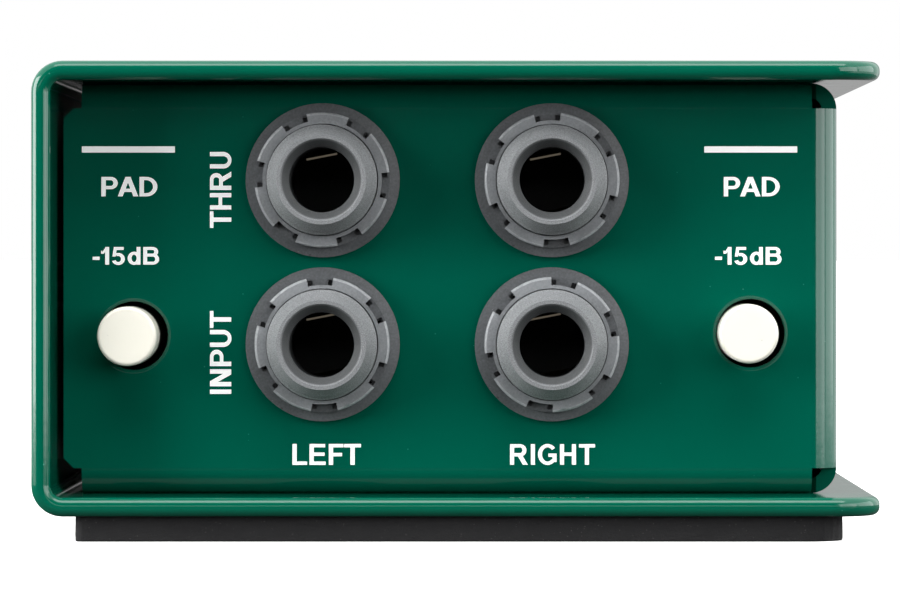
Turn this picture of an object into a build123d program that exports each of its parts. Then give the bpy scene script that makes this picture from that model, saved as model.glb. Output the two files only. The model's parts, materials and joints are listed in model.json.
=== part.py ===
from build123d import *
from math import cos, radians, sin
import os

# A stereo passive direct injection box. Millimetres, +Z up, the input end facing -Y.
# The origin is the middle of the underside of the no-slip pad.
# A C-shaped steel cover wraps a folded steel chassis: its top and bottom stand proud of the
# chassis at both ends and on the right, so that jacks, connectors and buttons sit in a recess.

# ---- modelling ---------------------------------------------------------------------------
# past is how far a cutter runs beyond what it cuts, edge_margin tells an edge that lies in a face
# from one beside it, and along_axis is the least cosine at which an edge counts as parallel.
past = 1.0
edge_margin = 0.1
along_axis = 0.99

# ---- cover -------------------------------------------------------------------------------
cover_width = 84.0
cover_length = 127.0
cover_height = 45.0
cover_sheet = 1.9
cover_bend_r = 3.1
cover_corner_r = 5.0
cover_edge_r = 0.85

# ---- no-slip pad -------------------------------------------------------------------------
pad_thickness = 2.5
pad_width = 76.2
pad_end_inset = 1.5
pad_shift_x = 0.3
pad_open_corner_r = 4.0
pad_closed_corner_r = 0.8

# ---- chassis -----------------------------------------------------------------------------
chassis_sheet = 1.5
chassis_bend_r = 2.6
panel_recess = 9.0
side_overhang = 3.9
panel_edge_gap = 0.7
flange_depth = 9.0
flange_setback = 1.8
panel_corner_cut = 1.0
mitre_slot = 0.8
floor_width = 62.0
hole_edge_r = 0.35

# ---- fasteners ---------------------------------------------------------------------------
screw_r = 1.5
screw_point = 0.4
screw_hole_r = 1.65
countersink_r = 2.85
countersink_depth = 1.25
countersink_gap = 0.1
cross_width = 0.7
cross_length = 3.0
cross_depth = 0.8
cover_screw_length = 6.5
cover_screw_inset = 5.0
cover_screw_from_left = 9.4
cover_screw_from_right = 10.1
clinch_nut_r = 2.6
clinch_nut_height = 2.0
clinch_nut_chamfer = 0.2
nut_thread_gap = 0.05

# ---- quarter-inch jacks ------------------------------------------------------------------
jack_spacing_x = 22.9
jack_spacing_z = 16.4
jack_shift_x = -1.35
jack_shift_z = 2.6
jack_body_width = 15.4
jack_body_height = 15.6
jack_body_depth = 22.0
jack_body_chamfer = 0.6
jack_wall = 2.0
jack_bore_r = 3.25
jack_bore_behind_panel = 4.0
bushing_r = 5.5
bushing_proud = 6.0
bushing_rim_r = 4.45
bushing_chamfer_length = 1.5
bushing_mouth_r = 4.1
bushing_mouth_length = 1.2
bushing_hole_gap = 0.2
thread_pitch = 0.75
thread_depth = 0.35
chamber_width = 7.2
chamber_height = 12.6

nut_r = 7.7
nut_flange = 1.2
nut_height = 3.0
nut_ring_r = 6.75
nut_bore_gap = 0.1
nut_edge_r = 0.3
ring_edge_r = 0.2
notch_count = 6
notch_width = 2.7
notch_inner_r = 6.0
notch_depth = 1.1
notch_pit_width = 0.7
notch_pit_depth = 1.9
notch_pit_wall = 0.25
nut_turns = {"thru_left": -5.0, "thru_right": 34.0, "input_left": 32.0, "input_right": 19.0}

contact_sheet = 0.3
contact_width = 3.2
contact_reach = 5.6
contact_end_gap = 0.2
contact_tilt = 11.0
tip_straight = 2.5
tip_end = 8.0
tip_touch = 2.65
sleeve_straight = 5.5
sleeve_bend = 2.6
sleeve_touch = 3.05
sleeve_end = 0.5
sleeve_lift = 0.8
terminal_width = 1.2
terminal_gap = 0.2

# ---- push switches -----------------------------------------------------------------------
switch_size = 8.0
switch_depth = 10.0
switch_base = 1.0
switch_wall = 0.9
switch_case_chamfer = 0.4
switch_travel = 3.0
stem_r = 1.6
stem_gap = 0.1
stem_into_cap = 5.0
slider_height = 2.5
slider_gap = 0.1
cap_r = 2.95
cap_edge_r = 0.35
cap_gap = 0.02
cap_clear_of_body = 0.4
button_hole_r = 3.42
button_drift = 0.38
spring_r = 2.2
spring_wire_r = 0.22
spring_turns = 5
spring_end_gap = 0.05
terminal_pin = 0.6
terminal_pitch_x = 4.0
terminal_pitch_z = 2.4

pad_button_from_panel_edge = 7.0
pad_button_from_side = 8.75
pad_button_shift_z = {"left": -4.75, "right": -4.5}
pad_button_proud = 5.0
lift_button_from_panel_edge = 6.3
lift_button_shift_z = 0.0
lift_button_proud = 3.0

# ---- XLR outlets -------------------------------------------------------------------------
xlr_spacing = 28.0
xlr_cup_r = 8.05
xlr_cup_depth = 12.7
xlr_rim_r = 9.6
xlr_rim_proud = 1.0
xlr_rim_edge_r = 0.35
xlr_hole_gap = 0.2
xlr_flange_width = 25.0
xlr_flange_height = 29.0
xlr_flange_sheet = 2.2
xlr_flange_corner_r = 3.0
xlr_barrel_r = 10.6
xlr_barrel_depth = 14.0
xlr_screw_x = 9.5
xlr_screw_z = 11.7
xlr_boss_r = 2.5
xlr_boss_length = 4.3
xlr_pin_r = 1.2
xlr_pin_circle_r = 3.81
xlr_pin_recess = 2.0
xlr_pin_tip_r = 0.7
xlr_pin_foot_r = 1.0
xlr_pin_foot_depth = 1.5
xlr_pin_foot_proud = 0.3
xlr_tail_r = 0.5
xlr_pin_gap = 0.02
xlr_latch_width = 5.2
xlr_latch_depth = 0.8
xlr_latch_length = 8.0
xlr_insert_step = 1.0
xlr_board_behind_panel = 17.6
xlr_screw_length = 7.0
pan_head_r = 2.7
pan_head_height = 1.7
pan_head_edge = 0.7
pan_head_crown = 0.9

# ---- circuit boards ----------------------------------------------------------------------
board = 1.6
board_side_gap = 0.8
board_floor_gap = 1.2
board_hole_gap = 0.15
tail_past_board = 1.9
standoff_height = 5.0
standoff_across_flats = 5.0
main_board_end_gap = 1.0
main_board_width = 66.0
main_board_shift_x = -3.0
standoff_spacing_x = 44.0
standoff_shift_x = 6.0
standoff_inset_y = 7.0
board_screw_length = 6.0
lead_root = 0.5
link_count = 6
link_pitch = 2.54
link_pin = 0.64
link_rise = 2.2
link_reach = 3.2

# ---- transformers and small components ---------------------------------------------------
transformer_spacing = 28.0
transformer_shift_x = 2.0
transformer_shift_y = 2.0
core_width = 21.0
core_height = 17.5
core_depth = 11.0
core_leg = 3.5
core_lift = 0.6
bobbin_wall = 0.6
bobbin_gap = 0.1
bobbin_flange = 0.7
bobbin_pin_pitch = 4.0
winding_gap = 0.3
winding_end_depth = 3.1
winding_inset = 0.2
winding_corner_r = 1.5
can_wall = 0.8
can_side_gap = 1.0
can_top_gap = 1.3
can_corner_r = 2.5
resistor_rows = 3
resistor_r = 1.2
resistor_length = 6.3
resistor_pitch = 3.0
lead_r = 0.3
resistor_lift = 0.4
resistor_edge_r = 0.4
resistor_bend_out = 1.0
capacitor_width = 7.2
capacitor_depth = 3.5
capacitor_height = 6.5
capacitor_lead_inset = 1.1
capacitor_chamfer = 0.3
component_row_inset = 7.5
component_spacing = 16.0

# ---- places worked out from the sizes above ----------------------------------------------
cover_low = pad_thickness
cover_high = pad_thickness + cover_height
chassis_low = cover_low + cover_sheet
chassis_high = cover_high - cover_sheet
panel_y = cover_length / 2 - panel_recess
panel_left = -cover_width / 2 + cover_sheet + panel_edge_gap
side_x = cover_width / 2 - side_overhang
panel_mid_x = (panel_left + side_x) / 2
panel_mid_z = (chassis_low + chassis_high) / 2
floor_top = chassis_low + chassis_sheet
roof_under = chassis_high - chassis_sheet
jack_board_z = -chassis_sheet - jack_body_depth
xlr_board_z = -chassis_sheet - xlr_board_behind_panel
main_board_low = floor_top + standoff_height
main_board_high = main_board_low + board
JACK_PLACES = {
    f"{row}_{side}": (
        panel_mid_x + jack_shift_x + sign_x * jack_spacing_x / 2,
        panel_mid_z + jack_shift_z + sign_z * jack_spacing_z / 2,
    )
    for row, sign_z in (("thru", 1), ("input", -1))
    for side, sign_x in (("left", -1), ("right", 1))
}
PAD_PLACES = {
    "left": (panel_left + pad_button_from_panel_edge, panel_mid_z + pad_button_shift_z["left"]),
    "right": (side_x - pad_button_from_side, panel_mid_z + pad_button_shift_z["right"]),
}
XLR_PLACES = {"left": panel_mid_x - xlr_spacing / 2, "right": panel_mid_x + xlr_spacing / 2}
LIFT_PLACES = {
    "left": panel_left + lift_button_from_panel_edge,
    "right": side_x - lift_button_from_panel_edge,
}

# Each panel has a frame of its own: its outer face is z = 0, +z leaves the box, +y is up.
FRONT = Pos(0, -panel_y, 0) * Rot(90, 0, 0)
REAR = Pos(0, panel_y, 0) * Rot(0, 0, 180) * Rot(90, 0, 0)


def on_front(x, z):
    """The place on the input panel at that x and z of the box."""
    return FRONT * Pos(x, z, 0)


def on_rear(x, z):
    """The place on the output panel at that x and z of the box."""
    return REAR * Pos(-x, z, 0)


def block(x, y, z):
    """A box from three (low, high) pairs."""
    size = [high - low for low, high in (x, y, z)]
    middle = [(high + low) / 2 for low, high in (x, y, z)]
    return Pos(*middle) * Box(*size)


def rod(radius, low, high, x=0.0, y=0.0):
    """A cylinder along z from low to high."""
    return Pos(x, y, (low + high) / 2) * Cylinder(radius, high - low)


def turned(*points):
    """A solid of revolution about z from (radius, z) points."""
    outline = make_face(Polyline(*[(r, 0, z) for r, z in points], close=True))
    return revolve(outline, Axis.Z)


def cross_recess(top):
    """The cross cut into a screw head whose top is at z = top."""
    depth = (top - cross_depth, top + past)
    long, short = (-cross_length / 2, cross_length / 2), (-cross_width / 2, cross_width / 2)
    return block(long, short, depth) + block(short, long, depth)


def group(solids):
    """Separate solids kept together in one node."""
    return Compound(children=[part for solid in solids for part in solid.solids()])


# ---- folded steel ------------------------------------------------------------------------
def cover_screw_places():
    """Where the cover is screwed to the chassis flanges, as (x, y) pairs."""
    left = panel_left + cover_screw_from_left
    right = side_x - cover_screw_from_right
    y = panel_y - cover_screw_inset
    return [(left, -y), (right, -y), (left, y), (right, y)]


def countersunk_hole(top):
    """The cutter for a countersunk screw that goes down from z = top."""
    return turned(
        (0, top + past),
        (countersink_r, top + past),
        (countersink_r, top),
        (screw_hole_r, top - countersink_depth),
        (screw_hole_r, top - cover_sheet - past),
        (0, top - cover_sheet - past),
    )


def cover():
    """The outer cover: top, left side and bottom bent from one sheet, open on the right."""
    half_x, half_y = cover_width / 2, cover_length / 2
    shell = block((-half_x, half_x), (-half_y, half_y), (cover_low, cover_high))
    shell = fillet(shell.edges().filter_by(Axis.Y).group_by(Axis.X)[0], cover_bend_r)
    inside = block(
        (-half_x + cover_sheet, half_x + past),
        (-half_y - past, half_y + past),
        (chassis_low, chassis_high),
    )
    inside_r = cover_bend_r - cover_sheet
    inside = fillet(inside.edges().filter_by(Axis.Y).group_by(Axis.X)[0], inside_r)
    shell -= inside
    shell = fillet(shell.edges().filter_by(Axis.Z).group_by(Axis.X)[-1], cover_corner_r)
    bent = half_x - cover_corner_r - edge_margin
    rim = [
        edge
        for edge in shell.edges()
        if not (abs(edge.tangent_at(0.5).Z) > along_axis and edge.center().X > bent)
        and not (abs(edge.tangent_at(0.5).Y) > along_axis and edge.center().X < half_x - edge_margin)
    ]
    shell = fillet(rim, cover_edge_r)
    for x, y in cover_screw_places():
        shell -= Pos(x, y, 0) * countersunk_hole(cover_high)
        shell -= Pos(x, y, 2 * panel_mid_z) * Rot(180, 0, 0) * countersunk_hole(cover_high)
    return shell


def bent_block(left, grow, radius):
    """A box with the chassis bends rounded, grown outwards by grow."""
    tub = block(
        (left, side_x + grow),
        (-panel_y - grow, panel_y + grow),
        (chassis_low - grow, chassis_high + grow),
    )
    edges = tub.edges().filter_by(Axis.X)
    edges += tub.edges().filter_by(Axis.Y).group_by(Axis.X)[-1]
    edges += tub.edges().filter_by(Axis.Z).group_by(Axis.X)[-1]
    return fillet(edges, radius)


def mitre(sign_y, low, high):
    """The slot between a panel's flange and the side's, from the corner relief inwards."""
    outer = Vector(side_x - chassis_bend_r, sign_y * (panel_y - chassis_bend_r))
    inner = Vector(side_x - flange_depth, sign_y * (panel_y - flange_depth))
    middle, run = (outer + inner) * 0.5, (outer - inner).length + mitre_slot
    slot = Box(run, mitre_slot, high - low)
    return Pos(middle.X, middle.Y, (low + high) / 2) * Rot(0, 0, 45 * sign_y) * slot


def chassis():
    """Input panel, right side, output panel and floor, bent from one sheet."""
    sheet, bend = chassis_sheet, chassis_bend_r
    metal = bent_block(panel_left, 0, bend) - bent_block(panel_left - past, -sheet, bend - sheet)
    for low, high, floor_left in (
        (chassis_low - past, floor_top + past, side_x - floor_width),
        (roof_under - past, chassis_high + past, side_x - flange_depth),
    ):
        flange_end = panel_y - flange_depth
        metal -= block((panel_left - past, floor_left), (-flange_end, flange_end), (low, high))
        for sign in (-1, 1):
            near, far = sorted((sign * flange_end, sign * (flange_end - mitre_slot)))
            metal -= block((floor_left - past, side_x - flange_depth), (near, far), (low, high))
            metal -= mitre(sign, low, high)
    for sign in (-1, 1):
        end = sorted((sign * (panel_y - bend), sign * (panel_y + past)))
        setback = sorted((sign * (panel_y - flange_depth - past), sign * (panel_y + past)))
        for low, high in (
            (chassis_low - past, chassis_low + bend),
            (chassis_high - bend, chassis_high + past),
        ):
            metal -= block((side_x - bend, side_x + past), end, (low, high))
            metal -= block((panel_left - past, panel_left + flange_setback), setback, (low, high))
        for z in (chassis_low + bend, chassis_high - bend):
            metal -= corner_cut(sign, z)
    return with_panel_holes(metal)


def corner_cut(sign_y, z):
    """The small corner taken off a panel's free edge at height z."""
    side = panel_corner_cut * 2**0.5
    return Pos(panel_left, sign_y * panel_y, z) * Rot(0, 45, 0) * Box(side, 4 * chassis_sheet, side)


def with_panel_holes(metal):
    """The chassis with its holes for jacks, buttons, outlets and screws."""
    through = (-chassis_sheet - past, past)
    for x, z in JACK_PLACES.values():
        metal -= on_front(x, z) * rod(bushing_r + bushing_hole_gap, *through)
    for x, z in PAD_PLACES.values():
        metal -= on_front(x, z) * button_hole()
    for x in LIFT_PLACES.values():
        metal -= on_rear(x, panel_mid_z + lift_button_shift_z) * button_hole()
    for x in XLR_PLACES.values():
        metal -= on_rear(x, panel_mid_z) * rod(xlr_rim_r + xlr_hole_gap, *through)
        for screw_x, screw_z in xlr_screw_places():
            metal -= on_rear(x, panel_mid_z) * rod(screw_hole_r, *through, screw_x, screw_z)
    for x, y in cover_screw_places():
        metal -= rod(screw_hole_r, chassis_low - past, floor_top + past, x, y)
        metal -= rod(screw_hole_r, roof_under - past, chassis_high + past, x, y)
    return metal


def button_hole():
    """The cutter for a button's hole, with its outer edge rounded over."""
    hole = rod(button_hole_r, -chassis_sheet - past, past)
    mouth = rod(button_hole_r + hole_edge_r, -hole_edge_r, past)
    ring = Pos(0, 0, -hole_edge_r) * Torus(button_hole_r + hole_edge_r, hole_edge_r)
    return hole + (mouth - ring)


def top_and_bottom(part):
    """A part at each cover screw under the top, and the same turned over above the bottom."""
    turned_over = Pos(0, 0, 2 * panel_mid_z) * Rot(180, 0, 0)
    places = [Pos(x, y, 0) for x, y in cover_screw_places()]
    return group([place * turn * part for turn in (Pos(0, 0, 0), turned_over) for place in places])


def clinch_nuts():
    """Clinch nuts against the inside of the chassis flanges, four above and four below."""
    low = roof_under - clinch_nut_height
    nut = rod(clinch_nut_r, low, roof_under)
    nut = chamfer(nut.edges().filter_by(GeomType.CIRCLE), clinch_nut_chamfer)
    return top_and_bottom(nut - rod(screw_r + nut_thread_gap, low - past, roof_under + past))


def cover_screws():
    """Countersunk screws flush with the cover, four in the top and four in the bottom."""
    head_r = countersink_r - countersink_gap
    face = cover_high
    screw = turned(
        (0, face),
        (head_r, face),
        (screw_r, face - countersink_depth),
        (screw_r, face - cover_screw_length + screw_point),
        (screw_r - screw_point, face - cover_screw_length),
        (0, face - cover_screw_length),
    ) - cross_recess(face)
    return top_and_bottom(screw)


# ---- no-slip pad -------------------------------------------------------------------------
def bottom_pad():
    """The sheet of foam rubber that covers the underside."""
    half_x, half_y = pad_width / 2, cover_length / 2 - pad_end_inset
    pad = block(
        (pad_shift_x - half_x, pad_shift_x + half_x), (-half_y, half_y), (0, pad_thickness)
    )
    pad = fillet(pad.edges().filter_by(Axis.Z).group_by(Axis.X)[-1], pad_open_corner_r)
    return fillet(pad.edges().filter_by(Axis.Z).group_by(Axis.X)[0], pad_closed_corner_r)


# ---- jacks -------------------------------------------------------------------------------
def thread_outline(low, high):
    """The (radius, z) points of the bushing's thread from low up to its chamfered end."""
    slope = (bushing_r - bushing_rim_r) / bushing_chamfer_length
    points = []
    z = low
    while z + thread_pitch < high:
        points += [(bushing_r, z), (bushing_r - thread_depth, z + thread_pitch / 2)]
        z += thread_pitch
    last = bushing_proud - (bushing_r - thread_depth - bushing_rim_r) / slope
    return points + [(bushing_r - thread_depth, last)]


def jack_body():
    """A jack's moulded housing with its threaded bushing, in a panel's frame."""
    half_x, half_y = jack_body_width / 2, jack_body_height / 2
    back = jack_board_z
    housing = block((-half_x, half_x), (-half_y, half_y), (back, -chassis_sheet))
    outer_edges = housing.edges().filter_by(Axis.Z) + housing.edges().group_by(Axis.Z)[-1]
    housing = chamfer(outer_edges, jack_body_chamfer)
    root = -chassis_sheet - past
    bushing = turned(
        (0, root),
        (bushing_r, root),
        *thread_outline(nut_flange, bushing_proud - bushing_chamfer_length / 2),
        (bushing_rim_r, bushing_proud),
        (0, bushing_proud),
    )
    bore_end = -chassis_sheet - jack_bore_behind_panel
    bore = turned(
        (0, bore_end - past),
        (jack_bore_r, bore_end - past),
        (jack_bore_r, bushing_proud - bushing_mouth_length),
        (bushing_mouth_r, bushing_proud),
        (bushing_mouth_r, bushing_proud + past),
        (0, bushing_proud + past),
    )
    half_w, half_h = chamber_width / 2, chamber_height / 2
    chamber = block((-half_w, half_w), (-half_h, half_h), (back + jack_wall, bore_end))
    body = housing + bushing - bore - chamber
    for x, y in terminal_places():
        slot = Box(terminal_width + terminal_gap, contact_sheet + terminal_gap, 3 * jack_wall)
        body -= Pos(x, y, back) * Rot(0, 0, contact_tilt) * slot
    return body


def terminal_places():
    """Where a jack's two terminals cross its back, in the panel's frame."""
    turn = radians(contact_tilt)
    return [(-y * sin(turn), y * cos(turn)) for y in (contact_reach, -contact_reach)]


def jack_contacts():
    """The tip spring above the bore and the sleeve spring below it, each with its terminal."""
    back = jack_board_z
    tail = back - board - tail_past_board
    inside = back + jack_wall + contact_end_gap
    bore_end = -chassis_sheet - jack_bore_behind_panel
    tip = [
        (inside, contact_reach),
        (inside + tip_straight, contact_reach),
        (inside + tip_end, tip_touch),
    ]
    sleeve = [
        (inside, -contact_reach),
        (bore_end - sleeve_straight, -contact_reach),
        (bore_end - sleeve_bend, -sleeve_touch),
        (bore_end - sleeve_end, -contact_reach + sleeve_lift),
    ]
    springs = []
    for run in (tip, sleeve):
        spring = extrude(ribbon(run), contact_width / 2, dir=(1, 0, 0), both=True)
        tab = Pos(0, run[0][1], (tail + inside) / 2)
        spring += tab * Box(terminal_width, contact_sheet, inside - tail)
        springs.append(Rot(0, 0, contact_tilt) * spring)
    return group(springs)


def ribbon(run):
    """The edge of a sheet of the contacts' thickness bent along (z, y) points."""
    half = contact_sheet / 2
    points = [Vector(0, y, z) for z, y in run]
    upper, lower = [], []
    for i, point in enumerate(points):
        before = (point - points[i - 1]).normalized() if i else None
        after = (points[i + 1] - point).normalized() if i < len(points) - 1 else None
        along = ((before or after) + (after or before)).normalized()
        across = Vector(0, along.Z, -along.Y)
        reach = half / along.dot(after or before)
        upper.append(point + across * reach)
        lower.append(point - across * reach)
    return make_face(Polyline(*[(p.X, p.Y, p.Z) for p in upper + lower[::-1]], close=True))


def jack_nut(turn):
    """A round flanged nut with a ring of six spanner notches, in a panel's frame."""
    bore = bushing_r + nut_bore_gap
    nut = turned((bore, 0), (nut_r, 0), (nut_r, nut_flange), (bore, nut_flange))
    nut = fillet(nut.edges().filter_by(GeomType.CIRCLE).sort_by(SortBy.RADIUS)[-1], nut_edge_r)
    ring = turned(
        (bore, nut_flange / 2),
        (nut_ring_r, nut_flange / 2),
        (nut_ring_r, nut_height),
        (bore, nut_height),
    )
    ring = fillet(ring.edges().group_by(Axis.Z)[-1], ring_edge_r)
    nut += ring
    floor, pit = nut_height - notch_depth, nut_height - notch_pit_depth
    reach = (notch_inner_r, nut_ring_r + nut_edge_r)
    for k in range(notch_count):
        notch = block(reach, (-notch_width / 2, notch_width / 2), (floor, nut_height + past))
        for sign in (-1, 1):
            ends = sorted((sign * notch_width / 2, sign * (notch_width / 2 - notch_pit_width)))
            notch += block((notch_inner_r, nut_ring_r - notch_pit_wall), ends, (pit, nut_height))
        nut -= Rot(0, 0, turn + k * 360 / notch_count) * notch
    return nut


# ---- push switches -----------------------------------------------------------------------
def switch_body(face):
    """A switch's case, open towards the board whose face is at z = face."""
    half, cavity = switch_size / 2, switch_size / 2 - switch_wall
    low, high = face + switch_base, face + switch_depth
    case = block((-half, half), (-half, half), (low, high))
    case = chamfer(case.edges().group_by(Axis.Z)[-1], switch_case_chamfer)
    case -= block((-cavity, cavity), (-cavity, cavity), (low, high - switch_wall))
    return case - rod(stem_r + stem_gap, face, high + past)


def switch_terminal_places():
    """Six terminals in two rows of three."""
    return [
        (sign * terminal_pitch_x / 2, row * terminal_pitch_z)
        for sign in (-1, 1)
        for row in (-1, 0, 1)
    ]


def switch_base_plate(face):
    """The plate that closes a switch's case against the board."""
    half = switch_size / 2
    return block((-half, half), (-half, half), (face, face + switch_base))


def switch_terminals(face):
    """The pins under a switch's base plate, through the board."""
    half = terminal_pin / 2
    low = face - board - tail_past_board
    return [
        block((x - half, x + half), (y - half, y + half), (low, face))
        for x, y in switch_terminal_places()
    ]


def slider_low(face):
    """Where the underside of a switch's slider rests."""
    return face + switch_depth - switch_wall - slider_height


def switch_plunger(face):
    """The square slider inside the case and the round stem that carries the cap."""
    half = switch_size / 2 - switch_wall - slider_gap
    low = slider_low(face)
    cap_low = face + switch_depth + switch_travel + cap_clear_of_body
    slider = block((-half, half), (-half, half), (low, low + slider_height))
    return slider + rod(stem_r, low, cap_low + stem_into_cap)


def switch_cap(face, proud):
    """The round button on the stem, its face standing proud of the panel."""
    low = face + switch_depth + switch_travel + cap_clear_of_body
    cap = rod(cap_r, low, proud)
    cap = fillet(cap.edges().filter_by(GeomType.CIRCLE).sort_by(Axis.Z)[-1], cap_edge_r)
    return cap - rod(stem_r + cap_gap, low - past, low + stem_into_cap + cap_gap)


def switch_spring(face):
    """The coil spring that pushes the slider out."""
    low = face + switch_base + spring_wire_r + spring_end_gap
    rise = slider_low(face) - spring_wire_r - spring_end_gap - low
    path = Helix(pitch=rise / spring_turns, height=rise, radius=spring_r)
    wire = Plane(origin=path @ 0, z_dir=path % 0) * Circle(spring_wire_r)
    return Pos(0, 0, low) * sweep(wire, path=path, is_frenet=True)


# ---- XLR outlets -------------------------------------------------------------------------
def xlr_screw_places():
    """An outlet's two screws, on a diagonal."""
    return [(-xlr_screw_x, xlr_screw_z), (xlr_screw_x, -xlr_screw_z)]


def xlr_pin_places():
    """Pins 1 and 2 level with the centre and pin 3 below it."""
    return [(-xlr_pin_circle_r, 0), (xlr_pin_circle_r, 0), (0, -xlr_pin_circle_r)]


def xlr_housing():
    """An outlet's shell: rim through the panel, flange behind it, barrel and screw bosses."""
    back = -chassis_sheet
    half_x, half_y = xlr_flange_width / 2, xlr_flange_height / 2
    flange = block((-half_x, half_x), (-half_y, half_y), (back - xlr_flange_sheet, back))
    shell = fillet(flange.edges().filter_by(Axis.Z), xlr_flange_corner_r)
    rim = rod(xlr_rim_r, back - past, xlr_rim_proud)
    shell += fillet(rim.edges().group_by(Axis.Z)[-1], xlr_rim_edge_r)
    shell += rod(xlr_barrel_r, back - xlr_barrel_depth, back - past)
    for x, y in xlr_screw_places():
        shell += rod(xlr_boss_r, back - xlr_flange_sheet - xlr_boss_length, back - past, x, y)
    shell -= rod(xlr_cup_r, back - xlr_barrel_depth - past, xlr_rim_proud + past)
    for x, y in xlr_screw_places():
        shell -= rod(screw_r + nut_thread_gap, -xlr_screw_length - past, past, x, y)
    return shell - block(
        (-xlr_latch_width / 2, xlr_latch_width / 2),
        (0, xlr_cup_r + xlr_latch_depth),
        (xlr_rim_proud - xlr_latch_length, xlr_rim_proud + past),
    )


def xlr_insert():
    """The insulator at the foot of the cup that holds the pins, reaching back to the board."""
    floor = xlr_rim_proud - xlr_cup_depth
    disc = rod(xlr_cup_r - xlr_pin_gap, -chassis_sheet - xlr_barrel_depth, floor)
    disc += rod(xlr_cup_r - xlr_insert_step, xlr_board_z, floor - past)
    for x, y in xlr_pin_places():
        disc -= rod(xlr_pin_foot_r + xlr_pin_gap, floor - xlr_pin_foot_depth, floor + past, x, y)
        disc -= rod(xlr_tail_r + xlr_pin_gap, xlr_board_z - past, floor, x, y)
    return disc


def xlr_pins():
    """An outlet's three pins, round-nosed and necked at the foot, with tails through the board."""
    floor = xlr_rim_proud - xlr_cup_depth
    tip, foot = xlr_rim_proud - xlr_pin_recess, floor - xlr_pin_foot_depth
    shoulder = floor + xlr_pin_foot_proud
    tail = xlr_board_z - board - tail_past_board
    pins = []
    for x, y in xlr_pin_places():
        pin = rod(xlr_pin_r, shoulder, tip, x, y)
        pin = fillet(pin.edges().group_by(Axis.Z)[-1], xlr_pin_tip_r)
        pin += rod(xlr_pin_foot_r, foot, shoulder, x, y)
        pins.append(pin + rod(xlr_tail_r, tail, foot, x, y))
    return pins


def pan_head_screw(length):
    """A pan-head screw that stands on z = 0 and goes down."""
    head = turned(
        (0, pan_head_height),
        (pan_head_r - pan_head_crown, pan_head_height),
        (pan_head_r, pan_head_height - pan_head_edge),
        (pan_head_r, 0),
        (0, 0),
    )
    shank = rod(screw_r, -length, pan_head_height / 4)
    shank = chamfer(shank.edges().group_by(Axis.Z)[0], screw_point)
    return head + shank - cross_recess(pan_head_height)


def xlr_screws():
    """Four pan-head screws that hold the outlets to the output panel."""
    screw = pan_head_screw(xlr_screw_length)
    return group(
        [
            on_rear(x, panel_mid_z) * Pos(screw_x, screw_z, 0) * screw
            for x in XLR_PLACES.values()
            for screw_x, screw_z in xlr_screw_places()
        ]
    )


# ---- circuit boards ----------------------------------------------------------------------
def upright_board(frame, face, holes):
    """A board across the box, its outer face at z = face of that panel's frame."""
    left = panel_left + board_side_gap
    right = side_x - chassis_sheet - board_side_gap
    low, high = floor_top + board_floor_gap, roof_under - board_side_gap
    span = sorted((left, right)) if frame is FRONT else sorted((-left, -right))
    plate = block(span, (low, high), (face - board, face))
    for x, y, radius in holes:
        plate -= rod(radius, face - board - past, face + past, x, y)
    return frame * plate


def link_xs():
    """The x of each pin between an upright board and the main one."""
    return [(k - (link_count - 1) / 2) * link_pitch for k in range(link_count)]


def link_z():
    """The height at which the link pins leave the upright boards."""
    return main_board_high + link_rise


def pin_hole_r(width):
    """The board hole for a square pin of that width."""
    return width * 2**0.5 / 2 + board_hole_gap


def input_board():
    """The upright board that carries the jacks and the pad switches."""
    jack_hole = terminal_width / 2 + board_hole_gap
    holes = [(x, link_z(), pin_hole_r(link_pin)) for x in link_xs()]
    for x, z in JACK_PLACES.values():
        holes += [(x + dx, z + dz, jack_hole) for dx, dz in terminal_places()]
    for x, z in PAD_PLACES.values():
        holes += [
            (x - button_drift + dx, z + dz, pin_hole_r(terminal_pin))
            for dx, dz in switch_terminal_places()
        ]
    return upright_board(FRONT, jack_board_z, holes)


def output_board():
    """The upright board that carries the outlets and the ground-lift switches."""
    holes = [(-x, link_z(), pin_hole_r(link_pin)) for x in link_xs()]
    for x in XLR_PLACES.values():
        holes += [
            (-x + dx, panel_mid_z + dz, xlr_tail_r + board_hole_gap)
            for dx, dz in xlr_pin_places()
        ]
    for x in LIFT_PLACES.values():
        holes += [
            (-x + dx, panel_mid_z + lift_button_shift_z + dz, pin_hole_r(terminal_pin))
            for dx, dz in switch_terminal_places()
        ]
    return upright_board(REAR, xlr_board_z, holes)


def main_board_ends():
    """The y of the main board's two ends, just clear of the upright boards."""
    front = -panel_y - jack_board_z + board + main_board_end_gap
    rear = panel_y + xlr_board_z - board - main_board_end_gap
    return front, rear


def standoff_places():
    """The four corners where the main board is held, as (x, y) pairs."""
    front, rear = main_board_ends()
    middle = main_board_shift_x + standoff_shift_x
    return [
        (middle + sign * standoff_spacing_x / 2, y)
        for sign in (-1, 1)
        for y in (front + standoff_inset_y, rear - standoff_inset_y)
    ]


def transformer_places():
    """The middle of each transformer, as (x, y) by side."""
    middle = main_board_shift_x + transformer_shift_x
    return {
        "left": (middle - transformer_spacing / 2, transformer_shift_y),
        "right": (middle + transformer_spacing / 2, transformer_shift_y),
    }


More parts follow.
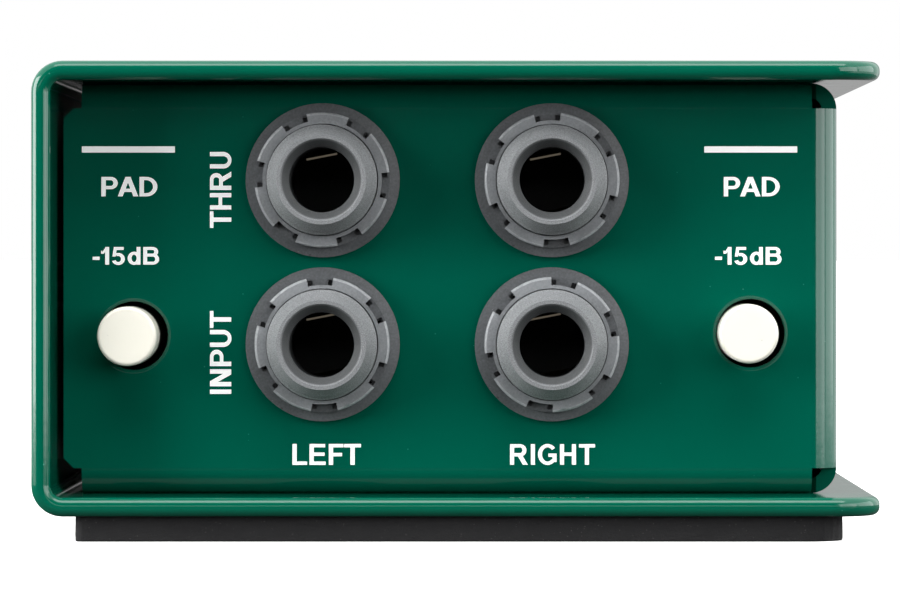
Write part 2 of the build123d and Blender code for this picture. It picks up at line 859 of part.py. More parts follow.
def main_board():
    """The level board that carries the transformers."""
    front, rear = main_board_ends()
    half = main_board_width / 2
    plate = block(
        (main_board_shift_x - half, main_board_shift_x + half),
        (front, rear),
        (main_board_low, main_board_high),
    )
    below, above = main_board_low - past, main_board_high + past
    for x, y in standoff_places():
        plate -= rod(screw_hole_r, below, above, x, y)
    for x in link_xs():
        for y in link_ys():
            plate -= rod(pin_hole_r(link_pin), below, above, x, y)
    for x, y in transformer_places().values():
        for dx, dy in bobbin_pin_places():
            plate -= rod(lead_r + board_hole_gap, below, above, x + dx, y + dy)
    for x, y in resistor_places():
        for dx in resistor_lead_xs():
            plate -= rod(lead_r + board_hole_gap, below, above, x + dx, y)
    for x, y in capacitor_places():
        for dx in capacitor_lead_xs():
            plate -= rod(lead_r + board_hole_gap, below, above, x + dx, y)
    return plate


def standoffs():
    """Four hexagonal standoffs between the chassis floor and the main board."""
    hexagon = RegularPolygon(standoff_across_flats / 2, 6, major_radius=False)
    bore = rod(screw_r + nut_thread_gap, -past, standoff_height + past)
    post = extrude(hexagon, standoff_height) - bore
    return group([Pos(x, y, floor_top) * post for x, y in standoff_places()])


def board_screws():
    """Four pan-head screws through the main board into the standoffs."""
    screw = pan_head_screw(board_screw_length)
    return group([Pos(x, y, main_board_high) * screw for x, y in standoff_places()])


def link_ys():
    """The y at which the link pins go down into the main board."""
    front, rear = main_board_ends()
    return front - main_board_end_gap + link_reach, rear + main_board_end_gap - link_reach


def link_pins():
    """Right-angled pins that join each upright board to the main board."""
    half = link_pin / 2
    low, z = main_board_low - tail_past_board, link_z()
    starts = (-panel_y - jack_board_z, panel_y + xlr_board_z)
    pins = []
    for start, turn_y in zip(starts, link_ys()):
        run = sorted((start, turn_y + (half if turn_y > start else -half)))
        for x in link_xs():
            width = (x - half, x + half)
            level = block(width, run, (z - half, z + half))
            pins.append(level + block(width, (turn_y - half, turn_y + half), (low, z)))
    return group(pins)


# ---- transformers ------------------------------------------------------------------------
def transformer_heights():
    """Core bottom, window bottom, window top and core top, above the main board."""
    low = core_lift
    return low, low + core_leg, low + core_height - core_leg, low + core_height


def transformer_core():
    """A stack of E and I laminations with two windows, standing on the main board."""
    low, window_low, window_high, high = transformer_heights()
    half_x, half_y = core_width / 2, core_depth / 2
    core = block((-half_x, half_x), (-half_y, half_y), (low, high))
    for sign in (-1, 1):
        window = sorted((sign * core_leg, sign * (half_x - core_leg)))
        core -= block(window, (-half_y - past, half_y + past), (window_low, window_high))
    return core


def bobbin_sizes():
    """Half sizes in x and y of the bobbin's tube, inside then outside, and of its flanges."""
    inner = (core_leg + bobbin_gap, core_depth / 2 + bobbin_gap)
    outer = (inner[0] + bobbin_wall, inner[1] + bobbin_wall)
    flange_x = core_width / 2 - core_leg - winding_gap
    return inner, outer, (flange_x, outer[1] + winding_end_depth)


def bobbin_pin_places():
    """Three pins under each of the bobbin's two rails."""
    _, outer, flange = bobbin_sizes()
    y = (outer[1] + flange[1]) / 2
    return [(k * bobbin_pin_pitch, sign * y) for sign in (-1, 1) for k in (-1, 0, 1)]


def transformer_bobbin():
    """The moulded tube round the core's middle leg, with two flanges and two pin rails."""
    _, window_low, window_high, _ = transformer_heights()
    inner, outer, flange = bobbin_sizes()
    low, high = window_low + bobbin_gap, window_high - bobbin_gap
    bobbin = block((-outer[0], outer[0]), (-outer[1], outer[1]), (low, high))
    for bottom, top in ((low, low + bobbin_flange), (high - bobbin_flange, high)):
        bobbin += block((-flange[0], flange[0]), (-flange[1], flange[1]), (bottom, top))
    for sign in (-1, 1):
        rail = sorted((sign * outer[1], sign * flange[1]))
        bobbin += block((-flange[0], flange[0]), rail, (0, low + bobbin_flange))
    return bobbin - block(
        (-inner[0], inner[0]), (-inner[1], inner[1]), (low - past, high + past)
    )


def transformer_winding():
    """The wound coil between the bobbin's flanges."""
    _, window_low, window_high, _ = transformer_heights()
    _, outer, flange = bobbin_sizes()
    low = window_low + bobbin_gap + bobbin_flange
    high = window_high - bobbin_gap - bobbin_flange
    half_x, half_y = flange[0] - winding_inset, flange[1] - winding_inset
    coil = block((-half_x, half_x), (-half_y, half_y), (low, high))
    coil = fillet(coil.edges().filter_by(Axis.Z), winding_corner_r)
    return coil - block((-outer[0], outer[0]), (-outer[1], outer[1]), (low - past, high + past))


def transformer_can():
    """The drawn shielding can over a transformer, open towards the board."""
    half_x = core_width / 2 + can_side_gap
    half_y = bobbin_sizes()[2][1] + can_side_gap
    top = transformer_heights()[3] + can_top_gap
    outer_x, outer_y = half_x + can_wall, half_y + can_wall
    can = block((-outer_x, outer_x), (-outer_y, outer_y), (0, top + can_wall))
    can = fillet(can.edges().filter_by(Axis.Z), can_corner_r)
    can = fillet(can.edges().group_by(Axis.Z)[-1], can_wall)
    hollow = block((-half_x, half_x), (-half_y, half_y), (-past, top))
    return can - fillet(hollow.edges().filter_by(Axis.Z), can_corner_r - can_wall)


def transformer_pins():
    """The pins under both bobbins, through the main board."""
    pins = []
    for x, y in transformer_places().values():
        for dx, dy in bobbin_pin_places():
            pin = rod(lead_r, -board - tail_past_board, 0, x + dx, y + dy)
            pins.append(Pos(0, 0, main_board_high) * pin)
    return group(pins)


# ---- small components --------------------------------------------------------------------
def component_places(y):
    """One place for each channel at that y, either side of the transformers' middle."""
    middle = main_board_shift_x + transformer_shift_x
    return [(middle + sign * component_spacing / 2, y) for sign in (-1, 1)]


def resistor_places():
    """The pad resistors behind the input board, one above another."""
    first = main_board_ends()[0] + component_row_inset
    rows = [first + row * resistor_pitch for row in range(resistor_rows)]
    return [place for y in rows for place in component_places(y)]


def resistor_lead_xs():
    """A resistor's two leads, either side of its middle."""
    reach = resistor_length / 2 + resistor_bend_out
    return (-reach, reach)


def resistors():
    """The pad resistors, each with its two bent leads."""
    height = resistor_r + resistor_lift
    left, right = resistor_lead_xs()
    body = rod(resistor_r, -resistor_length / 2, resistor_length / 2)
    body = fillet(body.edges().filter_by(GeomType.CIRCLE), resistor_edge_r)
    resistor = Pos(0, 0, height) * Rot(0, 90, 0) * (body + rod(lead_r, left, right))
    for x in (left, right):
        resistor += rod(lead_r, -board - tail_past_board, height, x)
        resistor += Pos(x, 0, height) * Sphere(lead_r)
    return group([Pos(x, y, main_board_high) * resistor for x, y in resistor_places()])


def capacitor_places():
    """A ground-lift capacitor for each outlet."""
    return component_places(main_board_ends()[1] - component_row_inset)


def capacitor_lead_xs():
    """A capacitor's two leads, either side of its middle."""
    reach = capacitor_width / 2 - capacitor_lead_inset
    return (-reach, reach)


def capacitors():
    """The two film capacitors across the ground-lift switches."""
    half_x, half_y = capacitor_width / 2, capacitor_depth / 2
    case = block((-half_x, half_x), (-half_y, half_y), (0, capacitor_height))
    outer_edges = case.edges().filter_by(Axis.Z) + case.edges().group_by(Axis.Z)[-1]
    case = chamfer(outer_edges, capacitor_chamfer)
    for x in capacitor_lead_xs():
        case += rod(lead_r, -board - tail_past_board, lead_root, x)
    return group([Pos(x, y, main_board_high) * case for x, y in capacitor_places()])


# ---- the assembly ------------------------------------------------------------------------
def switches():
    """Every switch as (name, place, board face, proud), its own axis a little off the hole's."""
    drift = Pos(-button_drift, 0, 0)
    found = [
        (f"pad_{side}", on_front(x, z) * drift, jack_board_z, pad_button_proud)
        for side, (x, z) in PAD_PLACES.items()
    ]
    lift_z = panel_mid_z + lift_button_shift_z
    return found + [
        (f"lift_{side}", on_rear(x, lift_z), xlr_board_z, lift_button_proud)
        for side, x in LIFT_PLACES.items()
    ]


def nodes():
    """Every node of the box by name."""
    made = {
        "outer_cover": cover(),
        "inner_chassis": chassis(),
        "bottom_pad": bottom_pad(),
        "cover_screws": cover_screws(),
        "clinch_nuts": clinch_nuts(),
        "input_board": input_board(),
        "output_board": output_board(),
        "main_board": main_board(),
        "board_standoffs": standoffs(),
        "board_screws": board_screws(),
        "board_link_pins": link_pins(),
        "transformer_pins": transformer_pins(),
        "pad_resistors": resistors(),
        "lift_capacitors": capacitors(),
        "xlr_screws": xlr_screws(),
    }
    body, contacts = jack_body(), jack_contacts()
    for name, (x, z) in JACK_PLACES.items():
        place = on_front(x, z)
        made[f"jack_body_{name}"] = place * body
        made[f"jack_nut_{name}"] = place * jack_nut(nut_turns[name])
        made[f"jack_contacts_{name}"] = group([place * contacts])
    bases, terminals = [], []
    for name, place, face, proud in switches():
        made[f"{name}_switch_case"] = place * switch_body(face)
        made[f"{name}_plunger"] = place * switch_plunger(face)
        made[f"{name}_button"] = place * switch_cap(face, proud)
        made[f"{name}_spring"] = place * switch_spring(face)
        bases.append(place * switch_base_plate(face))
        terminals += [place * pin for pin in switch_terminals(face)]
    made["switch_bases"] = group(bases)
    made["switch_terminals"] = group(terminals)
    for side, x in XLR_PLACES.items():
        place = on_rear(x, panel_mid_z)
        made[f"xlr_housing_{side}"] = place * xlr_housing()
        made[f"xlr_insert_{side}"] = place * xlr_insert()
        made[f"xlr_pins_{side}"] = group([place * pin for pin in xlr_pins()])
    for side, (x, y) in transformer_places().items():
        place = Pos(x, y, main_board_high)
        made[f"transformer_core_{side}"] = place * transformer_core()
        made[f"transformer_bobbin_{side}"] = place * transformer_bobbin()
        made[f"transformer_winding_{side}"] = place * transformer_winding()
        made[f"transformer_can_{side}"] = place * transformer_can()
    return made


os.makedirs("parts", exist_ok=True)
for name, shape in nodes().items():
    export_step(shape, f"parts/{name}.step")
    print(name, len(shape.solids()), "solids", round(shape.volume, 1), "mm3")
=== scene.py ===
# %% [markdown]
# # A stereo direct injection box
#
# A direct injection box takes the quarter-inch plug of a keyboard or guitar and sends its signal on
# over balanced cable. This one is a folded steel chassis inside a C-shaped steel cover, enamelled
# dark green, with a sheet of foam rubber under it. The CAD model holds every piece in its place and
# says what moves. This lesson adds what the CAD leaves out: finishes, legends, rounded edges, light.

# %% Load the frame
import json
import math

import bmesh
import bpy
from mathutils import Matrix, Vector, geometry, noise


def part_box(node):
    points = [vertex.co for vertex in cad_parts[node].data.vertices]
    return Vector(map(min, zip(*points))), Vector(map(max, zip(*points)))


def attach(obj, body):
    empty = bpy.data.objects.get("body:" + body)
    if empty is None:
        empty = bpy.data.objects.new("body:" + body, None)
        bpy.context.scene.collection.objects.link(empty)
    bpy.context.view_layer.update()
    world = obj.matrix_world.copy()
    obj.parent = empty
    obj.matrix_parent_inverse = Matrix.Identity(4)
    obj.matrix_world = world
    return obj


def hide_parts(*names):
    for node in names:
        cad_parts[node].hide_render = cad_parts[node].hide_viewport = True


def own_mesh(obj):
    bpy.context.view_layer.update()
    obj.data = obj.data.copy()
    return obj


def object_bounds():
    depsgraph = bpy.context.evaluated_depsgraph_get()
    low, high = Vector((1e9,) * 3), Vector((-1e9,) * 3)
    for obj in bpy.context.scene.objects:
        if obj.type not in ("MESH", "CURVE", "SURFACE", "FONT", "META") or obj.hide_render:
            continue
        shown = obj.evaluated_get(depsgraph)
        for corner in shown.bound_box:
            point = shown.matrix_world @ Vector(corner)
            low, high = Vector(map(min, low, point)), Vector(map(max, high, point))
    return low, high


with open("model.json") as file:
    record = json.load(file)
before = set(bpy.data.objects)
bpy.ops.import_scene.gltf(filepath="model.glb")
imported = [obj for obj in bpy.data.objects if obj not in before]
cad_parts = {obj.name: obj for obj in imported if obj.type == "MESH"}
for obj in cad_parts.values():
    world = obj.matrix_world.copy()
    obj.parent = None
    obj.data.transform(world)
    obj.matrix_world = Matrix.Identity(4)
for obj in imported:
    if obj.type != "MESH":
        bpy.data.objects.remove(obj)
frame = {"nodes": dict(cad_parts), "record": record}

cad_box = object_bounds()
MM = 0.001
nodes = frame["nodes"]

# %% [markdown]
# ## Where things are
#
# Every place below is measured from the CAD nodes, so nothing has to be fitted by eye. A node's box
# gives its middle, and the input panel's outer face is the lowest y of the chassis.


# %% Middles and faces
def middle(node):
    """The middle of a CAD node's box."""
    low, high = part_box(node)
    return (low + high) / 2


panel_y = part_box("inner_chassis")[0].y
cover_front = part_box("outer_cover")[0].y
jack = {name[len("jack_nut_"):]: middle(name) for name in nodes if name.startswith("jack_nut_")}
button = {side: middle(f"pad_{side}_button") for side in ("left", "right")}
print("input panel at y =", round(panel_y / MM, 2), "mm, jacks", sorted(jack))

# %% [markdown]
# ## The camera
#
# The box is looked at square on, from a little right of its middle and a little above it. Square on
# means the camera isn't turned: it looks straight along +Y, and a small lens shift, as a view camera
# has, brings the box to the middle of the frame. The lens is long, so the sides hardly converge.

# %% Camera
camera_distance = 560 * MM
camera_right, camera_up = 3.27 * MM, 28.13 * MM
shift_right, shift_up = -0.0444, -0.0478
view_width = 88.65 * MM
sensor_width = 36.0
camera_data = bpy.data.cameras.new("view")
camera_data.sensor_width = sensor_width
camera_data.lens = sensor_width * camera_distance / view_width
camera_data.shift_x, camera_data.shift_y = shift_right, shift_up
camera_data.clip_end = 100.0
camera = bpy.data.objects.new("view", camera_data)
camera.location = (camera_right, cover_front - camera_distance, camera_up)
camera.rotation_euler = (math.radians(90), 0, 0)
bpy.context.scene.collection.objects.link(camera)
bpy.context.scene.camera = camera
print("lens", round(camera_data.lens, 1), "mm")

# %% [markdown]
# ## Light
#
# Small glossy products are shot in a tent: white cloth on all sides but the one the camera looks
# through. A flat face turned to the camera then reflects the dark opening and keeps its full colour,
# while its rounded edges turn towards the cloth and light up. The world does the tent's job here: it
# is bright all round except in a soft cone about -Y, and dimmer straight behind the box, which the
# last sliver of every bend mirrors. Panels of cloth could be modelled as meshes, but a world is
# simpler and costs nothing to render.
#
# Five softboxes add what a tent alone can't. The bright one on the left and the two on the right make
# the pale streaks on the bends. The one in front and above lights the panel from the top. The thin
# strip in front draws fine lines along the edges.


# %% The tent
tent_strength, backdrop_strength = 1.9, 0.56
front_cone, back_cone = (-0.80, -0.55), (0.80, 0.97)
scene = bpy.context.scene
scene.view_settings.view_transform = "Standard"
world = bpy.data.worlds.new("tent")
scene.world = world
world.use_nodes = True
sky = world.node_tree.nodes
sky.clear()
where = sky.new("ShaderNodeTexCoord")
split = sky.new("ShaderNodeSeparateXYZ")
lit = sky.new("ShaderNodeMath")
lit.operation = "SUBTRACT"
tent = sky.new("ShaderNodeBackground")
seen = sky.new("ShaderNodeBackground")
seen.inputs["Color"].default_value = (1.0, 1.0, 1.0, 1.0)
rays = sky.new("ShaderNodeLightPath")
either = sky.new("ShaderNodeMixShader")
out = sky.new("ShaderNodeOutputWorld")
wire = world.node_tree.links.new
wire(where.outputs["Generated"], split.inputs["Vector"])
changes = ((front_cone, tent_strength), (back_cone, tent_strength - backdrop_strength))
for term, ((start_y, stop_y), amount) in zip(lit.inputs, changes):
    ramp = sky.new("ShaderNodeMapRange")
    ramp.interpolation_type = "SMOOTHSTEP"
    for socket, value in (("From Min", start_y), ("From Max", stop_y), ("To Max", amount)):
        ramp.inputs[socket].default_value = value
    wire(split.outputs["Y"], ramp.inputs["Value"])
    wire(ramp.outputs["Result"], term)
wire(lit.outputs["Value"], tent.inputs["Strength"])
wire(rays.outputs["Is Camera Ray"], either.inputs["Fac"])
wire(tent.outputs["Background"], either.inputs[1])
wire(seen.outputs["Background"], either.inputs[2])
wire(either.outputs["Shader"], out.inputs["Surface"])
print("tent opens", round(math.degrees(math.acos(-front_cone[0]))), "degrees either side of the camera")


# %% Softboxes
box_middle = Vector((0, 0, 0.025))


def softbox(name, spot, size, radiance):
    """A rectangular light at that spot, turned to the middle of the box, as bright as radiance says."""
    light = bpy.data.lights.new(name, "AREA")
    light.shape = "RECTANGLE"
    light.size, light.size_y = size
    light.energy = radiance * math.pi * size[0] * size[1]
    lamp = bpy.data.objects.new(name, light)
    lamp.location = spot
    aim = box_middle - Vector(spot)
    lamp.rotation_euler = aim.to_track_quat("-Z", "Y").to_euler()
    scene.collection.objects.link(lamp)


softbox("softbox_left", (-0.80, -0.30, 0.24), (0.70, 0.52), 10.0)
softbox("softbox_right", (0.62, -0.70, 0.22), (0.70, 0.50), 3.5)
softbox("softbox_side", (0.86, 0.00, 0.24), (0.80, 0.52), 2.4)
softbox("softbox_top", (0.05, -0.45, 0.85), (0.80, 0.45), 4.2)
softbox("softbox_strip", (0.0, -0.95, 0.15), (1.0, 0.05), 2.4)

# %% [markdown]
# ## Shared effects
#
# Real finishes are never flat. Four effects are used again and again, so each is a node group with
# its own inputs: grain (a fine height), cloudiness (a slow change of a value), dust (small specks)
# and brushing (fine parallel lines). A group only gives out heights, masks and values. The
# Principled shader that uses them stays in each material.


# %% Helpers for node groups
def new_group(name, inputs, outputs):
    """An empty node group with float inputs (name, default) and outputs (name, socket type)."""
    tree = bpy.data.node_groups.new(name, "ShaderNodeTree")
    for title, default in inputs:
        socket = tree.interface.new_socket(title, in_out="INPUT", socket_type="NodeSocketFloat")
        socket.default_value = default
    for title, kind in outputs:
        tree.interface.new_socket(title, in_out="OUTPUT", socket_type=kind)
    start = tree.nodes.new("NodeGroupInput")
    end = tree.nodes.new("NodeGroupOutput")
    return tree, start, end


def add(tree, kind, **values):
    """A node with its settings and its unlinked inputs set by name."""
    node = tree.nodes.new(kind)
    for key, value in values.items():
        if hasattr(node, key):
            setattr(node, key, value)
        else:
            node.inputs[key.replace("_", " ").title()].default_value = value
    return node


def maths(tree, operation, a, b=None, clamp=False):
    """A maths node on two sockets or numbers."""
    node = tree.nodes.new("ShaderNodeMath")
    node.operation = operation
    node.use_clamp = clamp
    for slot, value in zip(node.inputs, (a, b)):
        if value is None:
            continue
        if isinstance(value, (int, float)):
            slot.default_value = value
        else:
            tree.links.new(value, slot)
    return node.outputs[0]


def place(tree):
    """The object's own coordinates, in metres."""
    return tree.nodes.new("ShaderNodeTexCoord").outputs["Object"]


# %% Grain: a fine height from two sizes of noise
grain_group, start, end = new_group(
    "grain", (("Size mm", 0.3), ("Roughness", 0.5), ("Coarse", 0.3)), (("Height", "NodeSocketFloat"),)
)
spot = place(grain_group)
fine = add(grain_group, "ShaderNodeTexNoise", detail=4.0)
coarse = add(grain_group, "ShaderNodeTexNoise", detail=1.0)
per_metre = maths(grain_group, "DIVIDE", 1.0 / MM, start.outputs["Size mm"])
coarse_scale = 0.22
for texture, factor in ((fine, 1.0), (coarse, coarse_scale)):
    grain_group.links.new(spot, texture.inputs["Vector"])
    grain_group.links.new(maths(grain_group, "MULTIPLY", per_metre, factor), texture.inputs["Scale"])
    grain_group.links.new(start.outputs["Roughness"], texture.inputs["Roughness"])
slow = maths(grain_group, "MULTIPLY", coarse.outputs[0], start.outputs["Coarse"])
grain_group.links.new(maths(grain_group, "ADD", fine.outputs[0], slow), end.inputs["Height"])

# %% Cloudiness: a value that drifts slowly about a middle
cloud_group, start, end = new_group(
    "cloudiness", (("Size mm", 12.0), ("Middle", 0.4), ("Swing", 0.1)), (("Value", "NodeSocketFloat"),)
)
drift = add(cloud_group, "ShaderNodeTexNoise", detail=3.0, roughness=0.55)
cloud_group.links.new(place(cloud_group), drift.inputs["Vector"])
cloud_group.links.new(
    maths(cloud_group, "DIVIDE", 1.0 / MM, start.outputs["Size mm"]), drift.inputs["Scale"]
)
centred = maths(cloud_group, "SUBTRACT", drift.outputs[0], 0.5)
doubled = maths(cloud_group, "MULTIPLY", centred, 2.0)
swing = maths(cloud_group, "MULTIPLY", doubled, start.outputs["Swing"])
cloud_group.links.new(maths(cloud_group, "ADD", swing, start.outputs["Middle"]), end.inputs["Value"])

# %% Dust: a mask of small separate specks
dust_group, start, end = new_group(
    "dust", (("Spacing mm", 1.2), ("Speck", 0.12), ("Amount", 0.5)), (("Mask", "NodeSocketFloat"),)
)
cells = add(dust_group, "ShaderNodeTexVoronoi", feature="F1")
dust_group.links.new(place(dust_group), cells.inputs["Vector"])
dust_group.links.new(
    maths(dust_group, "DIVIDE", 1.0 / MM, start.outputs["Spacing mm"]), cells.inputs["Scale"]
)
near = maths(dust_group, "LESS_THAN", cells.outputs["Distance"], start.outputs["Speck"])
lottery = add(dust_group, "ShaderNodeSeparateColor")
dust_group.links.new(cells.outputs["Color"], lottery.inputs["Color"])
drawn = maths(dust_group, "LESS_THAN", lottery.outputs["Red"], start.outputs["Amount"])
dust_group.links.new(maths(dust_group, "MULTIPLY", near, drawn), end.inputs["Mask"])

# %% Brushing: fine lines along Y, for sheet and turned metal
brush_group, start, end = new_group(
    "brushing", (("Pitch mm", 0.08), ("Stretch", 30.0)), (("Height", "NodeSocketFloat"),)
)
squeeze = add(brush_group, "ShaderNodeVectorMath", operation="MULTIPLY")
along = add(brush_group, "ShaderNodeCombineXYZ")
along.inputs["X"].default_value = 1.0
along.inputs["Z"].default_value = 1.0
brush_group.links.new(maths(brush_group, "DIVIDE", 1.0, start.outputs["Stretch"]), along.inputs["Y"])
brush_group.links.new(place(brush_group), squeeze.inputs[0])
brush_group.links.new(along.outputs["Vector"], squeeze.inputs[1])
streaks = add(brush_group, "ShaderNodeTexNoise", detail=2.0)
brush_group.links.new(squeeze.outputs["Vector"], streaks.inputs["Vector"])
brush_group.links.new(
    maths(brush_group, "DIVIDE", 1.0 / MM, start.outputs["Pitch mm"]), streaks.inputs["Scale"]
)
brush_group.links.new(streaks.outputs[0], end.inputs["Height"])
print("shared effects:", [tree.name for tree in bpy.data.node_groups])


# %% [markdown]
# ## A material from its facts
#
# Every finish in the box is described by the same few facts: its colour and how far that drifts, its
# gloss and how far that drifts, the size and depth of its grain, and how dusty it is. One function
# turns them into nodes, so each material below is a short line of numbers that can be compared with
# its neighbours. What is the same all over, such as how metallic it is, is set straight on the shader.


# %% The material function
def use(tree, group, **values):
    """A node group placed in a material with its own values."""
    node = tree.nodes.new("ShaderNodeGroup")
    node.node_tree = group
    for key, value in values.items():
        node.inputs[key.replace("_", " ")].default_value = value
    return node.outputs[0]


def finish(
    name, colour, gloss, drift=0.08, metal=0.0, grain=0.3, depth=0.02, coarse=0.3,
    rough_swing=0.06, dust=0.0, dust_colour=(0.55, 0.55, 0.52), dust_spacing=0.55, brushed=0.0,
    speckle=0.0, speckle_size=0.12, speckle_colour=(0.4, 0.4, 0.4), **shader_values,
):
    """A Principled material whose colour, roughness and bump all vary over the surface."""
    material = bpy.data.materials.new(name)
    material.use_nodes = True
    tree = material.node_tree
    shader = tree.nodes["Principled BSDF"]
    wire = tree.links.new
    clouds = use(tree, cloud_group, Size_mm=9.0, Middle=0.5, Swing=0.5)
    tint = tree.nodes.new("ShaderNodeMix")
    tint.data_type = "RGBA"
    tint.inputs["A"].default_value = (*[c * (1 - drift) for c in colour], 1.0)
    tint.inputs["B"].default_value = (*[min(1.0, c * (1 + drift)) for c in colour], 1.0)
    wire(clouds, tint.inputs["Factor"])
    base = tint.outputs["Result"]
    if speckle:
        sand = use(tree, cloud_group, Size_mm=speckle_size, Middle=0.5, Swing=1.6)
        sandy = tree.nodes.new("ShaderNodeMix")
        sandy.data_type = "RGBA"
        sandy.clamp_factor = True
        sandy.inputs["B"].default_value = (*speckle_colour, 1.0)
        wire(maths(tree, "MULTIPLY", sand, speckle, clamp=True), sandy.inputs["Factor"])
        wire(base, sandy.inputs["A"])
        base = sandy.outputs["Result"]
    rough = use(tree, cloud_group, Size_mm=5.0, Middle=1.0 - gloss, Swing=rough_swing)
    if dust:
        specks = use(tree, dust_group, Spacing_mm=dust_spacing, Speck=0.14, Amount=dust)
        dusty = tree.nodes.new("ShaderNodeMix")
        dusty.data_type = "RGBA"
        dusty.inputs["B"].default_value = (*dust_colour, 1.0)
        wire(specks, dusty.inputs["Factor"])
        wire(base, dusty.inputs["A"])
        base = dusty.outputs["Result"]
    wire(base, shader.inputs["Base Color"])
    wire(rough, shader.inputs["Roughness"])
    height = use(tree, grain_group, Size_mm=grain, Roughness=0.6, Coarse=coarse)
    if brushed:
        lines = use(tree, brush_group, Pitch_mm=0.06, Stretch=brushed)
        height = maths(tree, "ADD", height, lines)
    bump = tree.nodes.new("ShaderNodeBump")
    bump.inputs["Distance"].default_value = depth * MM
    bump.inputs["Strength"].default_value = 1.0
    wire(height, bump.inputs["Height"])
    wire(bump.outputs["Normal"], shader.inputs["Normal"])
    shader.inputs["Metallic"].default_value = metal
    for key, value in shader_values.items():
        shader.inputs[key.replace("_", " ")].default_value = value
    return material


def wear(material, *names):
    """Puts a material on CAD nodes."""
    for name in names:
        mesh = nodes[name].data
        mesh.materials.clear()
        mesh.materials.append(material)


def starting(*heads):
    """The names of the CAD nodes that start with one of the given heads."""
    return sorted(name for name in nodes if name.startswith(heads))


# %% [markdown]
# ## Painted steel
#
# The cover and chassis are sprayed with a dark green enamel and baked. A sprayed coat is smooth but
# never flat: it dries with orange peel, shallow waves a millimetre or so across, and it traps a few
# specks of dust. The waves are kept much shallower than they are wide, or the paint looks like hammer
# finish. The cover is a touch lighter than the chassis.

# %% Enamel
enamel = finish(
    "enamel_cover", (0.0002, 0.104, 0.060), gloss=0.91, drift=0.06, grain=1.3, depth=0.006,
    coarse=2.8, rough_swing=0.025, dust=0.012, dust_colour=(0.05, 0.25, 0.18),
)
enamel_inner = finish(
    "enamel_chassis", (0.0001, 0.095, 0.060), gloss=0.91, drift=0.08, grain=1.2, depth=0.005,
    coarse=2.0, rough_swing=0.03, dust=0.014, dust_colour=(0.03, 0.18, 0.13),
)
wear(enamel, "outer_cover")
wear(enamel_inner, "inner_chassis")

# %% [markdown]
# ## Jack mouldings
#
# The bushing that comes through the panel is moulded in one with the jack's housing, in black
# glass-filled nylon. Handling leaves it grey and a little sandy, so the colour is well above black
# and the grain is coarse. Each bore's mouth is darkened with painted shade, and a mask round the
# jacks' axes says how far that shade reaches. The nut is the same plastic with a shinier skin,
# paler on the ring's top face, and with a painted highlight along the ring's edge.

# %% Painted shade in the bore mouths: a mask round each jack's axis
shade_reach_mm = 4.0
bore_shade_group, start, end = new_group(
    "painted_bore_shade", (("Reach mm", shade_reach_mm), ("Edge mm", 0.12)), (("Mask", "NodeSocketFloat"),)
)
spot = place(bore_shade_group)
nearest = None
for centre in jack.values():
    away = add(bore_shade_group, "ShaderNodeVectorMath", operation="SUBTRACT")
    flat = add(bore_shade_group, "ShaderNodeVectorMath", operation="MULTIPLY")
    length = add(bore_shade_group, "ShaderNodeVectorMath", operation="LENGTH")
    away.inputs[1].default_value = centre
    flat.inputs[1].default_value = (1.0, 0.0, 1.0)
    bore_shade_group.links.new(spot, away.inputs[0])
    bore_shade_group.links.new(away.outputs["Vector"], flat.inputs[0])
    bore_shade_group.links.new(flat.outputs["Vector"], length.inputs[0])
    reach = length.outputs["Value"]
    nearest = reach if nearest is None else maths(bore_shade_group, "MINIMUM", nearest, reach)
in_mm = maths(bore_shade_group, "DIVIDE", nearest, MM)
short = maths(bore_shade_group, "SUBTRACT", start.outputs["Reach mm"], in_mm)
bore_shade_group.links.new(
    maths(bore_shade_group, "DIVIDE", short, start.outputs["Edge mm"], clamp=True), end.inputs["Mask"]
)

# %% Black nylon
nylon = finish(
    "sandy_nylon", (0.128, 0.136, 0.142), gloss=0.52, drift=0.20, grain=0.14, depth=0.045,
    coarse=0.5, rough_swing=0.12, dust=0.12, dust_colour=(0.42, 0.42, 0.40), dust_spacing=0.22,
    speckle=0.60, speckle_size=0.10, speckle_colour=(0.34, 0.35, 0.36),
)
nut_nylon = finish(
    "nut_nylon", (0.086, 0.092, 0.098), gloss=0.68, drift=0.25, grain=0.25, depth=0.014,
    coarse=1.6, rough_swing=0.12, dust=0.05, dust_colour=(0.30, 0.31, 0.32), dust_spacing=0.25,
    speckle=0.30, speckle_size=0.25, speckle_colour=(0.20, 0.21, 0.22),
)
# A paler grey for the top face of the nut's ring.
pale_ring_nylon = finish(
    "pale_ring_nylon", (0.190, 0.202, 0.214), gloss=0.60, drift=0.25, grain=0.22, depth=0.014,
    coarse=1.6, rough_swing=0.14, dust=0.06, dust_colour=(0.36, 0.37, 0.38), dust_spacing=0.25,
    speckle=0.35, speckle_size=0.22, speckle_colour=(0.32, 0.33, 0.34),
)
# Painted highlight: a much paler grey for the sloping faces of the ring's rounded rim, standing in for the
# light its edge catches.
rim_highlight_nylon = finish(
    "rim_highlight_nylon", (0.36, 0.375, 0.39), gloss=0.60, drift=0.30, grain=0.22, depth=0.014,
    coarse=1.6, rough_swing=0.14, speckle=0.5, speckle_size=0.30, speckle_colour=(0.16, 0.17, 0.18),
)
insert_nylon = finish("insert_nylon", (0.016, 0.016, 0.018), gloss=0.5, grain=0.2, depth=0.01)
wear(nylon, *starting("jack_body"))
wear(nut_nylon, *starting("jack_nut"))
wear(insert_nylon, *starting("xlr_insert"))

